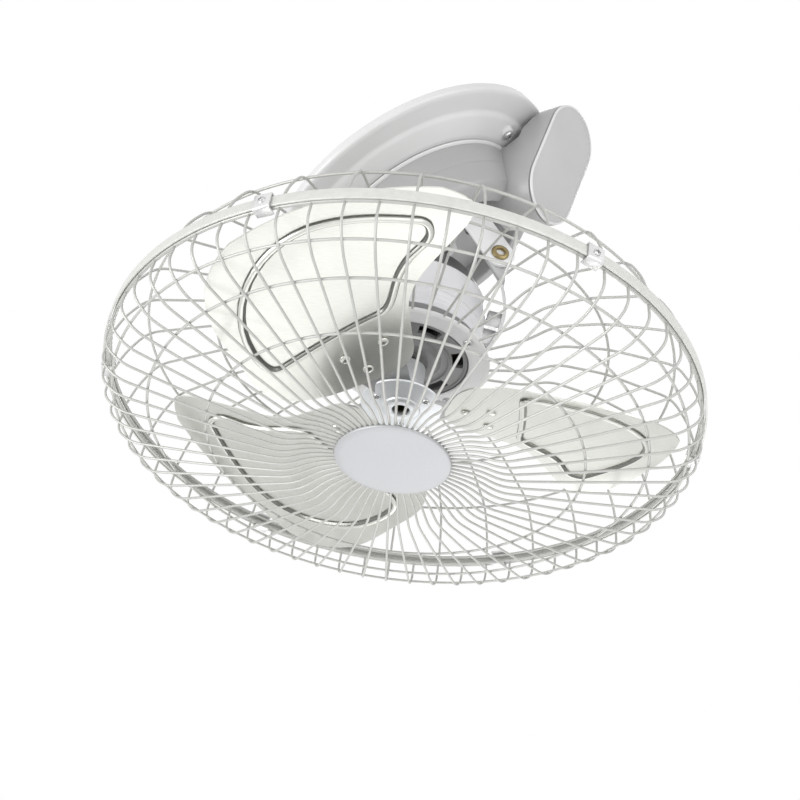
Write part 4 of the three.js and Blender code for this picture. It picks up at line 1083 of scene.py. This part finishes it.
def curved_sheet(name, outline, lift, thickness, place):
    """An outline in millimetres laid on the blade's curved surface and thickened forward."""
    bm = bmesh.new()
    bm.faces.new([bm.verts.new((p[0], p[1], 0)) for p in outline])
    for axis, count in ((0, BLADE_COLUMNS), (1, BLADE_ROWS)):
        low = min(p[axis] for p in outline)
        high = max(p[axis] for p in outline)
        normal = (1 - axis, axis, 0)
        for k in range(1, count):
            cut = low + (high - low) * k / count
            parts = bm.verts[:] + bm.edges[:] + bm.faces[:]
            bmesh.ops.bisect_plane(bm, geom=parts, plane_co=(cut, cut, 0), plane_no=normal)
    for vert in bm.verts:
        vert.co = surface_spot(vert.co.x, vert.co.y, lift)
    mesh = bpy.data.meshes.new(name)
    bm.to_mesh(mesh)
    bm.free()
    sheet = new_object(name, mesh, place, 60)
    thick = sheet.modifiers.new("Sheet", "SOLIDIFY")
    thick.thickness = thickness * MM
    thick.offset = 1
    return smoothed(apply_modifiers(sheet), 60)


class FAN_OT_blades(bpy.types.Operator):
    """Builds the pressed blades and their rivets"""

    bl_idname = "fan.blades"
    bl_label = "Blades"

    def execute(self, context):
        sizes = context.scene.fan_blade
        sheet_top = sizes.thickness / MM
        outline = blade_outline(sizes.tip_radius / MM)
        for k in range(BLADES):
            turn = HEAD @ Matrix.Rotation(BLADE_FIRST + k * 2 * math.pi / BLADES, 4, "Z")
            sheet = curved_sheet(f"blade_sheet_{k + 1}", outline, 0, sheet_top, turn)
            dress(sheet, "rotor", "blade_metal", MATERIALS["blade"], f"blade_{k + 1}")
            bead = bead_ridge(f"blade_bead_{k + 1}", sizes, turn)
            dress(bead, "rotor", "blade_metal", MATERIALS["blade"])
            # The bead's flanks get a painted dark reflection.
            paint_flank_reflection(bead)
            for i, (x, y) in enumerate(RIVETS):
                lean = Matrix.Rotation(math.atan(BLADE_PITCH), 4, "X")
                seat = Matrix.Translation(surface_spot(x, y, sheet_top)) @ lean
                rivet = turned_piece(f"rivet_{k + 1}_{i + 1}", RIVET, turn @ seat, 0.4, 32)
                dress(rivet, "rotor", "blade_metal", MATERIALS["rivet"])
        return {"FINISHED"}


ARM_REACH = 78
ARM_LIFT = -2.3
ARM_THICK = 2
SHAFT_R = 5
SHAFT_LOW = -136.7
HUB_SCREW_R = 21
HUB_SCREW_Z = -3.1
HUB_SCREW_AZ = math.radians(40)
HUB_SCREW_LEAN = math.radians(9)


def arm_outline():
    """Outline of a hub arm lying along X."""
    points = [(10, -11), (ARM_REACH - 16, -19)]
    points += arc((ARM_REACH - 16, -3), 16, -90, 0, 10)[1:]
    points += [(ARM_REACH, 16)]
    points += arc((ARM_REACH - 14, 16), 14, 0, 90, 10)[1:]
    return points + [(10, 11)]


class FAN_OT_hub(bpy.types.Operator):
    """Builds the hub's cone, its three arms and the shaft's hollow end"""

    bl_idname = "fan.hub"
    bl_label = "Hub"

    def execute(self, context):
        cone = turned_piece(
            "hub_cone",
            [(11, 0), (13.5, -0.6), (14.5, -2), (30, -4.4), (31, -5.4), (30, -6.6), (27, -8.5), (14, -12), (14, -40),
             (5.4, -40), (5.4, -9), (6.6, -8), (6.6, 0)],
            HEAD, 0.8, 96,
        )
        dress(cone, "rotor", "hub_metal", MATERIALS["hub"], "hub_spider")
        shaft = turned_piece(
            "shaft_end",
            [(0, SHAFT_LOW), (SHAFT_R, SHAFT_LOW), (SHAFT_R, -2), (4.7, -1.5), (4, -2), (4, -16), (0, -16)],
            HEAD, 0.2, 48,
        )
        dress(shaft, "rotor", "plain_steel", MATERIALS["dark_steel"], "shaft")
        spot = Vector((HUB_SCREW_R * math.cos(HUB_SCREW_AZ), HUB_SCREW_R * math.sin(HUB_SCREW_AZ), HUB_SCREW_Z)) * MM
        lean = Matrix.Rotation(HUB_SCREW_AZ, 4, "Z") @ Matrix.Rotation(HUB_SCREW_LEAN, 4, "Y")
        for k in range(BLADES):
            turn = HEAD @ Matrix.Rotation(BLADE_FIRST + k * 2 * math.pi / BLADES, 4, "Z")
            arm = curved_sheet(f"hub_arm_{k + 1}", arm_outline(), ARM_LIFT, ARM_THICK, turn)
            dress(arm, "rotor", "hub_metal", MATERIALS["arm"])
            head = cross_head(f"hub_screw_{k + 1}", 2.8, 1.6, turn @ Matrix.Translation(spot) @ lean)
            dress(head, "rotor", "hub_metal", MATERIALS["steel"])
        return {"FINISHED"}


# ---------- stage ----------
CAMERA_SPOT = Vector((552.06, 768.86, -554.75)) * MM
CAMERA_RIGHT = Vector((-0.8398, 0.24331, -0.48531))
CAMERA_UP = Vector((-0.28989, 0.55486, 0.77981))
LENS = 58.56
SENSOR = 36
FLOOR_HALF = 4.0
FLOOR_DROP = -1.7
WORLD_LIGHT = 0.68
# Place of each lamp in metres, its disc's width in metres and its power in watts; all of them aim at the fan.
AIM = Vector((0.08, 0, -0.17))
LAMPS = {
    "low_key": ((0.25, -1.1, -1.5), 2.0, 14),
    "side": ((2.2, 0.7, 0.2), 1.6, 31),
    "fill": ((-0.9, 1.9, -0.9), 2.0, 16),
    "below": ((0.6, 1.2, -1.8), 1.6, 9),
    "back": ((-1.2, -1.5, 0.9), 1.6, 20),
}


def add_area_light(name, spot, size, watts):
    lamp = bpy.data.lights.new(name, "AREA")
    lamp.shape = "DISK"
    lamp.size = size
    lamp.energy = watts
    obj = bpy.data.objects.new(name, lamp)
    bpy.context.scene.collection.objects.link(obj)
    obj.location = spot
    obj.rotation_euler = (AIM - Vector(spot)).to_track_quat("-Z", "Y").to_euler()


def white_behind(tree, background, strength):
    """Pure white to camera, glossy and transmission rays, and a plain light to the rest."""
    path = tree.nodes.new("ShaderNodeLightPath")
    seen = tree.nodes.new("ShaderNodeBackground")
    seen.inputs["Color"].default_value = (1, 1, 1, 1)
    background.inputs["Color"].default_value = (1, 1, 1, 1)
    background.inputs["Strength"].default_value = strength
    chosen = path.outputs["Is Camera Ray"]
    for ray in ("Is Glossy Ray", "Is Transmission Ray"):
        either = tree.nodes.new("ShaderNodeMath")
        either.operation = "MAXIMUM"
        tree.links.new(chosen, either.inputs[0])
        tree.links.new(path.outputs[ray], either.inputs[1])
        chosen = either.outputs["Value"]
    mix = tree.nodes.new("ShaderNodeMixShader")
    tree.links.new(chosen, mix.inputs["Fac"])
    tree.links.new(background.outputs[0], mix.inputs[1])
    tree.links.new(seen.outputs[0], mix.inputs[2])
    tree.links.new(mix.outputs[0], tree.nodes["World Output"].inputs["Surface"])


class FAN_OT_stage(bpy.types.Operator):
    """Sets the camera, the lights, the world and the floor"""

    bl_idname = "fan.stage"
    bl_label = "Stage"

    def execute(self, context):
        scene = context.scene
        camera = bpy.data.objects.new("camera", bpy.data.cameras.new("camera"))
        scene.collection.objects.link(camera)
        back = CAMERA_RIGHT.cross(CAMERA_UP)
        camera.matrix_world = frame_matrix(CAMERA_RIGHT, CAMERA_UP, back, CAMERA_SPOT)
        camera.data.lens = LENS
        camera.data.sensor_width = SENSOR
        scene.camera = camera

        corners = [(x, y, FLOOR_DROP) for x, y in rectangle(-FLOOR_HALF, FLOOR_HALF, -FLOOR_HALF, FLOOR_HALF)]
        floor = new_object("floor", mesh_from("floor", corners, [(0, 1, 2, 3)]))
        material, tree, shader = shader_material("floor")
        grain = noise_node(tree, 40, 3)
        tone = tuple(scene.fan_colours.floor)
        tree.links.new(ramp_between(tree, grain.outputs["Fac"], shade(tone, 0.99), shade(tone, 1.01)),
                       shader.inputs["Base Color"])
        shader.inputs["Roughness"].default_value = 0.9
        floor.data.materials.append(material)

        for name, (spot, size, watts) in LAMPS.items():
            add_area_light(name, spot, size, watts)
        scene.world = bpy.data.worlds.new("world")
        scene.world.use_nodes = True
        world = scene.world.node_tree
        white_behind(world, world.nodes["Background"], WORLD_LIGHT)
        scene.view_settings.view_transform = "Standard"
        return {"FINISHED"}


class FAN_OT_finishes(bpy.types.Operator):
    """Makes every finish and puts it on the pieces that keep their solids"""

    bl_idname = "fan.finishes"
    bl_label = "Finishes"

    def execute(self, context):
        make_materials()
        finish_nodes()
        return {"FINISHED"}


STEPS = [
    "stage", "finishes", "canopy", "arm_housing", "yoke", "motor", "strap", "cage", "rim", "badge", "blades", "hub",
]


class FAN_PT_panel(bpy.types.Panel):
    """Lists the fan's building steps and settings"""

    bl_idname = "FAN_PT_panel"
    bl_label = "Orbit ceiling fan"
    bl_space_type = "VIEW_3D"
    bl_region_type = "UI"
    bl_category = "Orbit fan"

    def draw(self, context):
        scene = context.scene
        for group in (scene.fan_cage, scene.fan_blade, scene.fan_colours):
            box = self.layout.box()
            for key in group.__annotations__:
                box.prop(group, key)
        for step in STEPS:
            self.layout.operator(f"fan.{step}")


CLASSES = [
    CageSizes, BladeSizes, FanColours, FAN_OT_stage, FAN_OT_finishes, FAN_OT_canopy, FAN_OT_arm_housing, FAN_OT_yoke,
    FAN_OT_motor, FAN_OT_strap, FAN_OT_cage, FAN_OT_rim, FAN_OT_badge, FAN_OT_blades, FAN_OT_hub, FAN_PT_panel,
]
SETTINGS = {"fan_cage": CageSizes, "fan_blade": BladeSizes, "fan_colours": FanColours}


def register():
    for cls in CLASSES:
        bpy.utils.register_class(cls)
    for name, cls in SETTINGS.items():
        setattr(bpy.types.Scene, name, bpy.props.PointerProperty(type=cls))


def unregister():
    for name in SETTINGS:
        delattr(bpy.types.Scene, name)
    for cls in reversed(CLASSES):
        bpy.utils.unregister_class(cls)


def main():
    register()
    for step in STEPS:
        getattr(bpy.ops.fan, step)()


if __name__ == "__main__":
    main()
